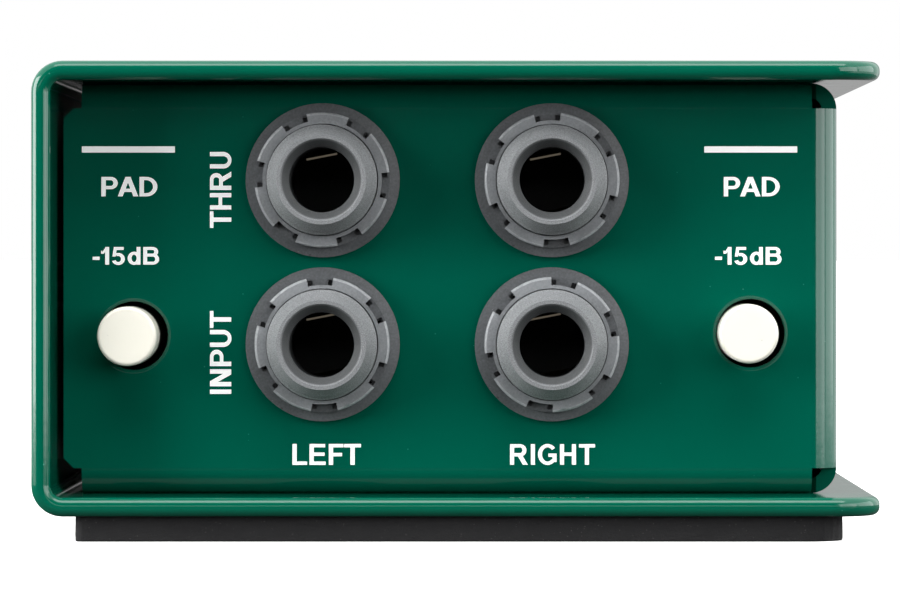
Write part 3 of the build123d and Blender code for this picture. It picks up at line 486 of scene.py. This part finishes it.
# %% The bore mouths, darkened as painted shade
# Painted shade: inside the mask the nylon's colour gives way to this darker grey.
bore_shade_grey = (0.062, 0.066, 0.068, 1.0)
tree = nylon.node_tree
shader = tree.nodes["Principled BSDF"]
bore_shade_mix = tree.nodes.new("ShaderNodeMix")
bore_shade_mix.data_type = "RGBA"
bore_shade_mix.inputs["B"].default_value = bore_shade_grey
tree.links.new(shader.inputs["Base Color"].links[0].from_socket, bore_shade_mix.inputs["A"])
tree.links.new(use(tree, bore_shade_group, Reach_mm=shade_reach_mm), bore_shade_mix.inputs["Factor"])
tree.links.new(bore_shade_mix.outputs["Result"], shader.inputs["Base Color"])
# Painted shade: how far from each axis the mouths are darkened.
print("plugs rub the mouldings up to", shade_reach_mm, "mm from each axis")

# %% [markdown]
# ## The other finishes
#
# Plated springs and pins, white caps, screws, and the parts inside the closed case. Those inside are
# hardly ever seen, but they get the right stuff too: laminate, tape, varnished core, tinned wire.

# %% Metals
spring_bronze = finish(
    "plated_spring", (0.72, 0.66, 0.52), gloss=0.7, metal=1.0, grain=0.2, depth=0.004,
    brushed=20.0, Emission_Color=(0.80, 0.68, 0.50, 1.0),
)
nickel = finish(
    "satin_nickel", (0.52, 0.52, 0.51), gloss=0.62, metal=1.0, grain=0.25, depth=0.010,
    coarse=0.7, rough_swing=0.08, dust=0.02,
)
silver = finish(
    "silvered_pin", (0.80, 0.79, 0.75), gloss=0.76, metal=1.0, grain=0.15, depth=0.004, brushed=20.0
)
black_zinc = finish(
    "black_zinc", (0.030, 0.031, 0.034), gloss=0.58, metal=0.6, grain=0.18, depth=0.012, dust=0.03
)
bright_screw = finish("nickel_screw", (0.62, 0.62, 0.60), gloss=0.7, metal=1.0, grain=0.2, depth=0.006)
zinc = finish(
    "zinc_plate", (0.50, 0.51, 0.53), gloss=0.6, metal=1.0, drift=0.15, grain=0.5, depth=0.010
)
tinned = finish("tinned_wire", (0.66, 0.66, 0.64), gloss=0.66, metal=1.0, grain=0.2, depth=0.006)
wire_steel = finish("spring_wire", (0.55, 0.55, 0.56), gloss=0.74, metal=1.0, grain=0.2, depth=0.004)
can_metal = finish(
    "can_metal", (0.48, 0.48, 0.50), gloss=0.55, metal=1.0, grain=0.4, depth=0.006, brushed=40.0
)
core_steel = finish(
    "varnished_core", (0.10, 0.085, 0.07), gloss=0.5, metal=0.5, grain=0.3, depth=0.02, brushed=60.0
)
wear(spring_bronze, *starting("jack_contacts"))
wear(nickel, *starting("xlr_housing"))
wear(silver, *starting("xlr_pins"))
wear(black_zinc, "cover_screws", "xlr_screws")
wear(bright_screw, "board_screws")
wear(zinc, "clinch_nuts", "board_standoffs")
wear(tinned, "board_link_pins", "switch_terminals", "transformer_pins")
wear(wire_steel, *[name for name in nodes if name.endswith("_spring")])
wear(can_metal, *starting("transformer_can"))
wear(core_steel, *starting("transformer_core"))

# %% Plastics and laminate
cap_white = finish(
    "cap_white", (0.88, 0.86, 0.76), gloss=0.68, drift=0.02, grain=0.25, depth=0.006, dust=0.01
)
stem_white = finish("stem_white", (0.78, 0.78, 0.74), gloss=0.55, drift=0.03, grain=0.2, depth=0.008)
case_black = finish("case_black", (0.028, 0.028, 0.032), gloss=0.5, grain=0.2, depth=0.012)
laminate = finish("green_laminate", (0.012, 0.11, 0.035), gloss=0.62, drift=0.12, grain=0.35, depth=0.012)
bobbin = finish("bobbin_nylon", (0.72, 0.66, 0.50), gloss=0.5, grain=0.2, depth=0.010)
tape = finish(
    "winding_tape", (0.72, 0.42, 0.06), gloss=0.7, drift=0.10, grain=0.5, depth=0.010, brushed=25.0
)
resistor_blue = finish("resistor_lacquer", (0.10, 0.28, 0.42), gloss=0.66, grain=0.3, depth=0.008)
film_red = finish("capacitor_case", (0.42, 0.05, 0.03), gloss=0.6, grain=0.3, depth=0.008)
wear(cap_white, *[name for name in nodes if name.endswith("_button")])
wear(stem_white, *[name for name in nodes if name.endswith("_plunger")])
wear(case_black, "switch_bases", *[name for name in nodes if name.endswith("_switch_case")])
wear(laminate, "input_board", "output_board", "main_board")
wear(bobbin, *starting("transformer_bobbin"))
wear(tape, *starting("transformer_winding"))
wear(resistor_blue, "pad_resistors")
wear(film_red, "lift_capacitors")

# %% [markdown]
# ## A glint in the bores
#
# The tip spring of each jack crosses its bore near the top, and one edge of it catches light. Hardly
# any of the scene's light gets in through a 6.5 mm hole, so that edge is given a faint glow of its
# own. The mask is a thin slab above each jack's axis, tilted as the springs are.

# %% The lit edge of the tip springs
glint_tilt, glint_reach, glint_half = math.radians(-11.0), 2.65 * MM, 0.09 * MM
glint_strength = 0.12
tree = spring_bronze.node_tree
nearest = None
for centre in jack.values():
    away = add(tree, "ShaderNodeVectorMath", operation="SUBTRACT")
    along = add(tree, "ShaderNodeVectorMath", operation="DOT_PRODUCT")
    away.inputs[1].default_value = centre
    along.inputs[1].default_value = (math.sin(glint_tilt), 0.0, math.cos(glint_tilt))
    tree.links.new(place(tree), away.inputs[0])
    tree.links.new(away.outputs["Vector"], along.inputs[0])
    off = maths(tree, "ABSOLUTE", maths(tree, "SUBTRACT", along.outputs["Value"], glint_reach))
    nearest = off if nearest is None else maths(tree, "MINIMUM", nearest, off)
glint = maths(tree, "MULTIPLY", maths(tree, "LESS_THAN", nearest, glint_half), glint_strength)
tree.links.new(glint, tree.nodes["Principled BSDF"].inputs["Emission Strength"])
print("tip springs glow within", round(glint_half / MM, 2), "mm of their edge")

# %% [markdown]
# ## Return springs
#
# A CAD solid can't shorten, so at the end of its travel a plunger would run into its spring. Each
# spring is copied with a mesh of its own and fixed to the chassis, and the CAD spring is hidden. The
# copy keeps the CAD spring's shape.

# %% Springs copied to the chassis
for joint in frame["record"]["behaviour"]["joints"]:
    for spring in joint["deforming_nodes"]:
        coil = bpy.data.objects.new(spring["node"] + "_coil", nodes[spring["node"]].data.copy())
        scene.collection.objects.link(coil)
        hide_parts(spring["node"])
        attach(coil, "chassis")
        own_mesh(coil)

# %% [markdown]
# ## The nuts
#
# Each nut is a flat flange with a raised ring, and a pin spanner turns it by six notches cut in the
# ring's outer edge. Its shape is a landscape of flat steps about its axis, so the easy way to make it
# is as one: cut the plan into sectors and rings, give each cell a height, and raise a wall wherever
# neighbours differ. A bevel modifier then rounds every edge, which is what catches the light. The
# spanner notches lie at the angle at which each nut was tightened, read back from its CAD node.


# %% How far each nut is turned
nut_outer, nut_ring, nut_bore = 7.7 * MM, 6.75 * MM, 5.6 * MM
notch_inner, pit_outer = 5.95 * MM, 6.5 * MM
flange_top, ring_top = 1.2 * MM, 3.0 * MM
notch_top, pit_top = 1.95 * MM, 1.25 * MM
notch_half_angle = 11.6
pit_angle = 4.5
notch_count = 6
notch_floor_heights = (1.7 * MM, 2.0 * MM)
notch_wall_reaches = (5.9 * MM, 6.1 * MM)
arc_steps = 7


def nut_turn(name):
    """The angle of a nut's first notch, from where its CAD ring is cut away."""
    centre = jack[name]
    step = 360.0 / notch_count
    low, high = notch_floor_heights
    near, far = notch_wall_reaches
    sums = Vector((0.0, 0.0))
    for vertex in nodes[f"jack_nut_{name}"].data.vertices:
        out_x, out_z = vertex.co.x - centre.x, vertex.co.z - centre.z
        height = panel_y - vertex.co.y
        reach = math.hypot(out_x, out_z)
        if low < height < high and near < reach < far:
            angle = math.atan2(out_z, out_x) * notch_count
            sums += Vector((math.cos(angle), math.sin(angle)))
    return math.degrees(math.atan2(sums.y, sums.x)) / notch_count % step


turns = {name: nut_turn(name) for name in jack}
print("notch angles", {name: round(turn, 1) for name, turn in turns.items()})


# %% The stepped landscape
same_height, weld_distance = 1e-9, 1e-7


def nut_height(reach, angle):
    """The nut's height at that distance from its axis and angle from a notch's middle."""
    if reach > nut_ring:
        return flange_top
    if reach < notch_inner or abs(angle) > notch_half_angle:
        return ring_top
    in_pit = abs(angle) > notch_half_angle - pit_angle and reach < pit_outer
    return pit_top if in_pit else notch_top


def stepped_disc(rings, sectors, height):
    """A closed solid of flat cells: rings are radii, sectors are angles, height gives each cell's top."""
    mesh = bmesh.new()
    count = len(sectors)
    tops = {}
    for r in range(len(rings) - 1):
        for s in range(count):
            mid_angle = (sectors[s] + sectors[(s + 1) % count] + (360 if s + 1 == count else 0)) / 2
            tops[r, s] = height((rings[r] + rings[r + 1]) / 2, mid_angle)

    def corner(r, s, z):
        angle = math.radians(sectors[s % count])
        return mesh.verts.new((rings[r] * math.cos(angle), rings[r] * math.sin(angle), z))

    def wall(a, b, low, high):
        if high - low > same_height:
            mesh.faces.new([corner(*a, low), corner(*b, low), corner(*b, high), corner(*a, high)])

    for (r, s), top in tops.items():
        around = ((r, s), (r + 1, s), (r + 1, s + 1), (r, s + 1))
        mesh.faces.new([corner(*at, top) for at in around])
        mesh.faces.new([corner(*at, 0) for at in around[::-1]])
        outside = tops.get((r + 1, s), 0.0)
        inside = tops.get((r - 1, s), 0.0)
        after = tops[r, (s + 1) % count]
        before = tops[r, (s - 1) % count]
        wall((r + 1, s), (r + 1, s + 1), min(top, outside), top)
        wall((r, s + 1), (r, s), min(top, inside), top)
        wall((r + 1, s + 1), (r, s + 1), min(top, after), top)
        wall((r, s), (r + 1, s), min(top, before), top)
    bmesh.ops.remove_doubles(mesh, verts=mesh.verts, dist=weld_distance)
    bmesh.ops.recalc_face_normals(mesh, faces=mesh.faces)
    return mesh


# %% Make the four nuts
def nut_sectors():
    """Angles for all sectors: fine between the notches, with cuts at each notch's and pit's ends."""
    marks = []
    for k in range(notch_count):
        middle_angle = k * 360.0 / notch_count
        pit = notch_half_angle - pit_angle
        marks += [middle_angle + cut for cut in (-notch_half_angle, -pit, 0.0, pit, notch_half_angle)]
        gap = 360.0 / notch_count - 2 * notch_half_angle
        marks += [middle_angle + notch_half_angle + gap * i / arc_steps for i in range(1, arc_steps)]
    return sorted(angle % 360.0 for angle in marks)


def nearest_notch(angle):
    """An angle measured from the middle of the notch nearest to it."""
    step = 360.0 / notch_count
    return (angle + step / 2) % step - step / 2


def as_object(name, mesh, material):
    """A new object from a bmesh, in the scene, with its material."""
    data = bpy.data.meshes.new(name)
    mesh.to_mesh(data)
    mesh.free()
    data.materials.append(material)
    thing = bpy.data.objects.new(name, data)
    scene.collection.objects.link(thing)
    return thing


def soften(thing, width, segments=2, limit=35.0):
    """Rounds every edge sharper than limit, applies it, and smooths the shading."""
    bevel = thing.modifiers.new("soft_edges", "BEVEL")
    bevel.width = width
    bevel.segments = segments
    bevel.limit_method = "ANGLE"
    bevel.angle_limit = math.radians(limit)
    bevel.harden_normals = False
    settled = thing.evaluated_get(bpy.context.evaluated_depsgraph_get())
    data = bpy.data.meshes.new_from_object(settled)
    thing.modifiers.clear()
    thing.data = data
    data.shade_smooth()


flange_fall, ring_fall = 0.30 * MM, 0.10 * MM
ring_rounding, edge_rounding = 0.30 * MM, 0.10 * MM
rim_slopes = (0.3, 0.98)


def shape_nut(mesh):
    """Lets flange and ring fall away outwards, rounds the ring's edge, marks the paler ring top and the
    painted highlight on its rim.
    """
    hair = 0.01 * MM
    tops = [vertex for vertex in mesh.verts if vertex.co.z > ring_top - hair]
    edge_verts = {vertex for vertex in tops if vertex.co.xy.length > nut_ring - hair}
    edges = [edge for edge in mesh.edges if set(edge.verts) <= edge_verts and len(edge.link_faces) == 2]
    bmesh.ops.bevel(mesh, geom=edges, offset=ring_rounding, offset_type="OFFSET", segments=3, profile=0.5,
                    affect="EDGES", clamp_overlap=True)
    for vertex in mesh.verts:
        reach, height = vertex.co.xy.length, vertex.co.z
        if reach > nut_outer - hair and height > hair:
            vertex.co.z -= flange_fall
        elif height > ring_top - ring_rounding:
            vertex.co.z -= ring_fall * (reach - nut_bore) / (nut_ring - nut_bore)
    mesh.normal_update()
    for face in mesh.faces:
        centre = face.calc_center_median()
        face.material_index = int(centre.z > ring_top - ring_rounding - ring_fall)
        # Index 1 is the ring's paler top; index 2 is the painted highlight on the sloping faces of its rim.
        sloping = rim_slopes[0] < face.normal.z < rim_slopes[1]
        on_rim = sloping and centre.xy.length > nut_ring - ring_rounding
        if face.material_index and on_rim:
            face.material_index = 2


rings = [nut_bore, notch_inner, pit_outer, nut_ring, nut_outer]
for name, centre in jack.items():
    mesh = stepped_disc(rings, nut_sectors(), lambda reach, angle: nut_height(reach, nearest_notch(angle)))
    shape_nut(mesh)
    nut = as_object(f"nut_{name}", mesh, nut_nylon)
    nut.data.materials.append(pale_ring_nylon)
    nut.data.materials.append(rim_highlight_nylon)
    facing = Matrix.Rotation(math.radians(90), 4, "X") @ Matrix.Rotation(math.radians(turns[name]), 4, "Z")
    nut.matrix_world = Matrix.Translation((centre.x, panel_y, centre.z)) @ facing
    soften(nut, edge_rounding)
    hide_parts(f"jack_nut_{name}")
    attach(nut, "chassis")
print("made", len(jack), "nuts with", notch_count, "notches each")

# %% [markdown]
# ## The no-slip pad
#
# A sheet of closed-cell foam rubber covers the whole underside. Foam that is cut with a blade shows
# its cells as a fine speckle and its edge is never quite straight. The sheet is made as a grid bent
# round the outline, so that there are enough points along the edge to push in and out a little. The
# speckle is the dust effect, closely spaced and only a little paler than the rubber.

# %% Foam rubber
foam_rubber = finish(
    "foam_rubber", (0.009, 0.009, 0.010), gloss=0.12, drift=0.12, grain=0.35, depth=0.10,
    coarse=0.6, dust=0.30, dust_colour=(0.065, 0.065, 0.062), dust_spacing=0.34,
)

# %% The sheet
pad_low, pad_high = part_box("bottom_pad")
open_corner_r, closed_corner_r = 4.0 * MM, 0.8 * MM
pad_inset, pad_step = 0.05 * MM, 0.6 * MM
waver, waves_per_metre = 0.04 * MM, 900
pad_levels = ((0.12, 0.0), (0.03, 0.06), (0.0, 0.3), (0.0, 0.7), (0.03, 0.94), (0.12, 1.0))


def pad_outline(inset, spacing):
    """Points round the pad: square left corners, rounded right ones, set in by inset."""
    low_x, high_x = pad_low.x + inset, pad_high.x - inset
    low_y, high_y = pad_low.y + inset, pad_high.y - inset
    points = []

    def arc(centre_x, centre_y, radius, start_angle):
        for turned in range(0, 91, 15):
            angle = math.radians(start_angle + turned)
            x, y = centre_x + radius * math.cos(angle), centre_y + radius * math.sin(angle)
            points.append(Vector((x, y)))

    open_r, closed_r = open_corner_r - inset, closed_corner_r
    arc(high_x - open_r, low_y + open_r, open_r, -90)
    arc(high_x - open_r, high_y - open_r, open_r, 0)
    arc(low_x + closed_r, high_y - closed_r, closed_r, 90)
    arc(low_x + closed_r, low_y + closed_r, closed_r, 180)
    filled = []
    for a, b in zip(points, points[1:] + points[:1]):
        steps = max(1, round((b - a).length / spacing))
        filled += [a.lerp(b, i / steps) for i in range(steps)]
    return filled


def make_pad():
    """The foam sheet with a slightly uneven cut edge, inside the CAD pad's box."""
    thickness = pad_high.z - pad_low.z
    mesh = bmesh.new()
    rows = []
    for inset_mm, level in pad_levels:
        row = []
        for point in pad_outline(pad_inset, pad_step):
            z = level * thickness
            bumps = noise.noise(Vector((point.x, point.y, z)) * waves_per_metre)
            push = bumps * waver - inset_mm * MM
            row.append(mesh.verts.new((*(point + point.normalized() * push), pad_low.z + z)))
        rows.append(row)
    count = len(rows[0])
    for lower, upper in zip(rows, rows[1:]):
        for i in range(count):
            mesh.faces.new([lower[i], lower[(i + 1) % count], upper[(i + 1) % count], upper[i]])
    mesh.faces.new(rows[0][::-1])
    mesh.faces.new(rows[-1])
    bmesh.ops.recalc_face_normals(mesh, faces=mesh.faces)
    return as_object("pad_sheet", mesh, foam_rubber)


pad = make_pad()
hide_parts("bottom_pad")
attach(pad, "chassis")
print("pad", [round(side / MM, 1) for side in pad.dimensions], "mm")

# %% [markdown]
# ## Legends
#
# The words on the panel are screen printed: white ink pressed through a mesh, a few hundredths of a
# millimetre thick. Only plain function words are used. A text object would bring Blender's own
# typeface, which is softer and wider than sign writer's capitals, so the letters are drawn here. Each
# is a few strokes on a grid one capital high: bars, slanted bars and pieces of ring. Strokes overlap,
# so a Delaunay triangulation merges them into one sheet, which is then given the ink's thickness. The
# ink glows faintly, because the overhang would otherwise leave the upper words grey.

# %% Ink
ink = finish(
    "white_ink", (0.97, 0.98, 0.97), gloss=0.42, drift=0.02, grain=0.18, depth=0.008, rough_swing=0.08,
    Emission_Color=(1.0, 1.0, 1.0, 1.0), Emission_Strength=0.22,
)
ink_thickness = 0.02 * MM
stem, beam = 0.205, 0.165


# %% Strokes
degrees_a_side = 12
bowl_fullness = 1.05


def bar(left, low, right, high):
    """An upright or level bar."""
    return [(left, low), (right, low), (right, high), (left, high)]


def slant(low_x, low_y, high_x, high_y, width):
    """A slanting bar with level ends, given by the left corner of each end."""
    return [(low_x, low_y), (low_x + width, low_y), (high_x + width, high_y), (high_x, high_y)]


def bend(x, y, wide, tall, start, stop):
    """Part of an oval ring about x, y, from one angle to another; stems' weight beside, beams' above."""
    steps = max(4, round(abs(stop - start) / degrees_a_side))
    angles = [math.radians(start + (stop - start) * i / steps) for i in range(steps + 1)]
    outer = [(x + wide * math.cos(a), y + tall * math.sin(a)) for a in angles]
    inner = [(x + (wide - stem) * math.cos(a), y + (tall - beam) * math.sin(a)) for a in angles]
    return outer + inner[::-1]


def bowl(left, low, high, right):
    """Two level bars and the half ring that joins them on the right."""
    tall = (high - low) / 2
    turn = right - tall * bowl_fullness
    ring = bend(turn, low + tall, right - turn, tall, -90, 90)
    return [bar(left, high - beam, turn, high), bar(left, low, turn, low + beam), ring]


# %% The alphabet: strokes and width of each letter
post = bar(0, 0, stem, 1)
LETTERS = {
    "-": ([bar(0.0, 0.27, 0.37, 0.27 + beam * 1.1)], 0.37),
    "1": ([bar(0.22, 0, 0.22 + stem, 1), slant(0.0, 0.62, 0.24, 0.97, 0.14),
           bar(0.0, 0.62, 0.06, 0.79)], 0.43),
    "5": ([bar(0.10, 1 - beam, 0.62, 1), slant(0.02, 0.46, 0.10, 1, 0.17),
           bend(0.33, 0.32, 0.35, 0.34, -160, 118)], 0.68),
    "A": ([slant(0, 0, 0.36, 1, 0.225), slant(0.735, 0, 0.375, 1, 0.225),
           bar(0.20, 0.23, 0.76, 0.23 + beam)], 0.96),
    "B": ([post, *bowl(stem, 0.46, 1, 0.79), *bowl(stem, 0, 0.54 + beam / 2, 0.84)], 0.84),
    "D": ([post, *bowl(stem, 0, 1, 0.84)], 0.84),
    "E": ([post, bar(0, 0, 0.77, beam), bar(0, 0.43, 0.72, 0.43 + beam), bar(0, 1 - beam, 0.75, 1)], 0.77),
    "F": ([post, bar(0, 0.41, 0.63, 0.41 + beam), bar(0, 1 - beam, 0.70, 1)], 0.70),
    "G": ([bend(0.48, 0.5, 0.48, 0.51, 38, 318), bar(0.52, 0.38, 0.93, 0.38 + beam),
           bar(0.93 - stem, 0.13, 0.93, 0.5)], 0.95),
    "H": ([post, bar(0, 0.43, 0.80, 0.43 + beam), bar(0.80 - stem, 0, 0.80, 1)], 0.80),
    "I": ([post], stem),
    "L": ([post, bar(0, 0, 0.70, beam)], 0.70),
    "N": ([post, slant(0.56, 0, 0.0, 1, 0.24), bar(0.80 - stem, 0, 0.80, 1)], 0.80),
    "P": ([post, *bowl(stem, 0.37, 1, 0.77)], 0.77),
    "R": ([post, *bowl(stem, 0.40, 1, 0.82), slant(0.64, 0, 0.36, 0.46, 0.25)], 0.89),
    "T": ([bar(0, 1 - beam, 0.80, 1), bar(0.40 - stem / 2, 0, 0.40 + stem / 2, 1)], 0.80),
    "U": ([bar(0, 0.36, stem, 1), bar(0.80 - stem, 0.36, 0.80, 1),
           bend(0.40, 0.37, 0.40, 0.38, 180, 360)], 0.80),
    "d": ([bend(0.34, 0.36, 0.34, 0.375, 0, 360), bar(0.68 - stem, 0, 0.68, 1)], 0.68),
}
NARROW_GAPS = {
    "PA": 0.00, "AD": 0.06, "LE": 0.11, "FT": 0.03, "PU": 0.13, "TH": 0.09, "UT": 0.09, "-1": 0.08,
}
letter_gap = 0.15


# %% Merging the strokes
def merged(strokes):
    """Overlapping outlines as one sheet: its points and its triangles."""
    points, outlines = [], []
    for stroke in strokes:
        area = sum(a[0] * b[1] - b[0] * a[1] for a, b in zip(stroke, stroke[1:] + stroke[:1]))
        outline = stroke if area > 0 else stroke[::-1]
        outlines.append(list(range(len(points), len(points) + len(outline))))
        points += [Vector(point) for point in outline]
    found = geometry.delaunay_2d_cdt(points, [], outlines, 0, 1e-5, True)
    return found[0], [face for face, owners in zip(found[2], found[5]) if owners]


def ink_sheet(name, strokes, width, height):
    """Strokes as a sheet of ink of that overall width and height, centred, facing +Z."""
    flat, faces = merged(strokes)
    used = sorted({i for face in faces for i in face})
    xs, ys = [flat[i].x for i in used], [flat[i].y for i in used]
    scale = Vector((width / (max(xs) - min(xs)), height / (max(ys) - min(ys))))
    centre = Vector(((max(xs) + min(xs)) / 2, (max(ys) + min(ys)) / 2))
    mesh = bmesh.new()
    corners = {i: mesh.verts.new((*((flat[i] - centre) * scale), 0.0)) for i in used}
    for face in faces:
        mesh.faces.new([corners[i] for i in face])
    bmesh.ops.recalc_face_normals(mesh, faces=mesh.faces)
    if mesh.faces[:][0].normal.z < 0:
        bmesh.ops.reverse_faces(mesh, faces=mesh.faces)
    raised = bmesh.ops.extrude_face_region(mesh, geom=mesh.faces[:])
    for part in raised["geom"]:
        if isinstance(part, bmesh.types.BMVert):
            part.co.z = ink_thickness
    bmesh.ops.recalc_face_normals(mesh, faces=mesh.faces)
    return as_object(name, mesh, ink)


def on_panel(sheet, x, z, turn=0.0):
    """Lays a sheet of ink on the input panel."""
    stand = Matrix.Rotation(math.radians(90), 4, "X") @ Matrix.Rotation(math.radians(turn), 4, "Z")
    sheet.matrix_world = Matrix.Translation((x, panel_y, z)) @ stand
    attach(sheet, "chassis")


def legend(name, words, x, z, width, height, turn=0.0):
    """Printed words of that overall width and letter height, centred on x and z."""
    strokes, pen = [], 0.0
    for i, letter in enumerate(words):
        shapes, advance = LETTERS[letter]
        strokes += [[(pen + px, py) for px, py in shape] for shape in shapes]
        pen += advance + NARROW_GAPS.get(words[i:i + 2], letter_gap)
    on_panel(ink_sheet(name, strokes, width, height), x, z, turn)


# %% Jack legends: name, words, jack, mm right and up from its axis, width and height in mm, turn
jack_words = (
    ("word_left", "LEFT", "input_left", 0.38, -11.03, 6.86, 2.1, 0.0),
    ("word_right", "RIGHT", "input_right", 0.08, -11.03, 8.5, 2.1, 0.0),
    ("word_thru", "THRU", "thru_left", -10.23, -0.96, 7.6, 2.15, 90.0),
    ("word_input", "INPUT", "input_left", -10.23, -0.82, 8.3, 2.15, 90.0),
)
for name, words, beside, right, up, width, height, turn in jack_words:
    x, z = jack[beside].x + right * MM, jack[beside].z + up * MM
    legend(name, words, x, z, width * MM, height * MM, turn)

# %% Pad legends and their lines, measured from the left input jack's height
word_shift = {"left": -0.04 * MM, "right": 0.50 * MM}
pad_words = (("word_pad", "PAD", 0.0, 15.77, 5.6, 1.95), ("word_level", "-15dB", -0.35, 8.83, 6.65, 1.8))
line_right, line_up, line_size = -0.1 * MM, 19.49 * MM, (9.3 * MM, 0.62 * MM)
for side, centre in button.items():
    axis_x, level_z = centre.x + word_shift[side], jack["input_left"].z
    for name, words, right, up, width, height in pad_words:
        x, z = axis_x + right * MM, level_z + up * MM
        legend(f"{name}_{side}", words, x, z, width * MM, height * MM)
    line = ink_sheet(f"line_pad_{side}", [bar(0, 0, 1, 1)], *line_size)
    on_panel(line, axis_x + line_right, level_z + line_up)

# %% [markdown]
# ## The floor
#
# A pale seamless sheet. To the eye it glows a little, so that it is as light as the tent behind it.
# The light it throws back at the box is another matter: a white floor in front would show in the
# panel and wash out its green, so for every ray but the camera's it is black in front of the box, as
# if a dark cloth lay there, and grey behind it, where it lights the overhangs.
#
# Three rules say where it can be seen through. Reflections see through it far from the box, and then
# show the tent. Right under the pad every ray passes, so that light reaches the pad's underside. And
# from below nothing is hidden, so that the underside can be looked at.

# %% Paper: pale for the camera, dark in front and grey behind for every other ray
dark_front, grey_behind, turnover = 0.015, 0.25, 0.10
paper_glow = 0.80
paper = finish("pale_paper", (0.86, 0.86, 0.85), gloss=0.08, drift=0.01, grain=1.5, depth=0.01)
tree = paper.node_tree
wire = tree.links.new
shader = tree.nodes["Principled BSDF"]
rays = tree.nodes.new("ShaderNodeLightPath")
where = tree.nodes.new("ShaderNodeSeparateXYZ")
cloth = tree.nodes.new("ShaderNodeMapRange")
either = tree.nodes.new("ShaderNodeMix")
either.data_type = "RGBA"
ends = (("From Min", -turnover), ("From Max", turnover), ("To Min", dark_front), ("To Max", grey_behind))
for socket, value in ends:
    cloth.inputs[socket].default_value = value
wire(place(tree), where.inputs["Vector"])
wire(where.outputs["Y"], cloth.inputs["Value"])
wire(cloth.outputs["Result"], either.inputs["A"])
wire(shader.inputs["Base Color"].links[0].from_socket, either.inputs["B"])
wire(rays.outputs["Is Camera Ray"], either.inputs["Factor"])
wire(either.outputs["Result"], shader.inputs["Base Color"])
wire(maths(tree, "MULTIPLY", rays.outputs["Is Camera Ray"], paper_glow), shader.inputs["Emission Strength"])
shader.inputs["Specular IOR Level"].default_value = 0.0
shader.inputs["Emission Color"].default_value = (1.0, 1.0, 1.0, 1.0)

# %% Where the paper can be seen through
mirror_reach, pad_margin = 0.20, 1.0 * MM
clear = tree.nodes.new("ShaderNodeBsdfTransparent")
face = tree.nodes.new("ShaderNodeNewGeometry")
one_way = tree.nodes.new("ShaderNodeMixShader")
reach = add(tree, "ShaderNodeVectorMath", operation="LENGTH")
wire(place(tree), reach.inputs[0])
far = maths(tree, "GREATER_THAN", reach.outputs["Value"], mirror_reach)
unseen = maths(tree, "MULTIPLY", far, rays.outputs["Is Glossy Ray"])
hidden = maths(tree, "MAXIMUM", unseen, face.outputs["Backfacing"])
beneath = 1.0
for axis, half in (("X", pad_high.x), ("Y", pad_high.y)):
    within = maths(tree, "LESS_THAN", maths(tree, "ABSOLUTE", where.outputs[axis]), half - pad_margin)
    beneath = maths(tree, "MULTIPLY", within, beneath)
wire(maths(tree, "MAXIMUM", hidden, beneath), one_way.inputs["Fac"])
wire(shader.outputs["BSDF"], one_way.inputs[1])
wire(clear.outputs["BSDF"], one_way.inputs[2])
wire(one_way.outputs["Shader"], tree.nodes["Material Output"].inputs["Surface"])

# %% Floor
floor_radius, floor_gap = 40.0, 0.02 * MM
sheet = bmesh.new()
bmesh.ops.create_circle(sheet, cap_ends=True, segments=96, radius=floor_radius)
floor = as_object("floor", sheet, paper)
floor.location.z = cad_box[0].z - floor_gap
print("floor lies", round(floor_gap / MM, 2), "mm under the box")
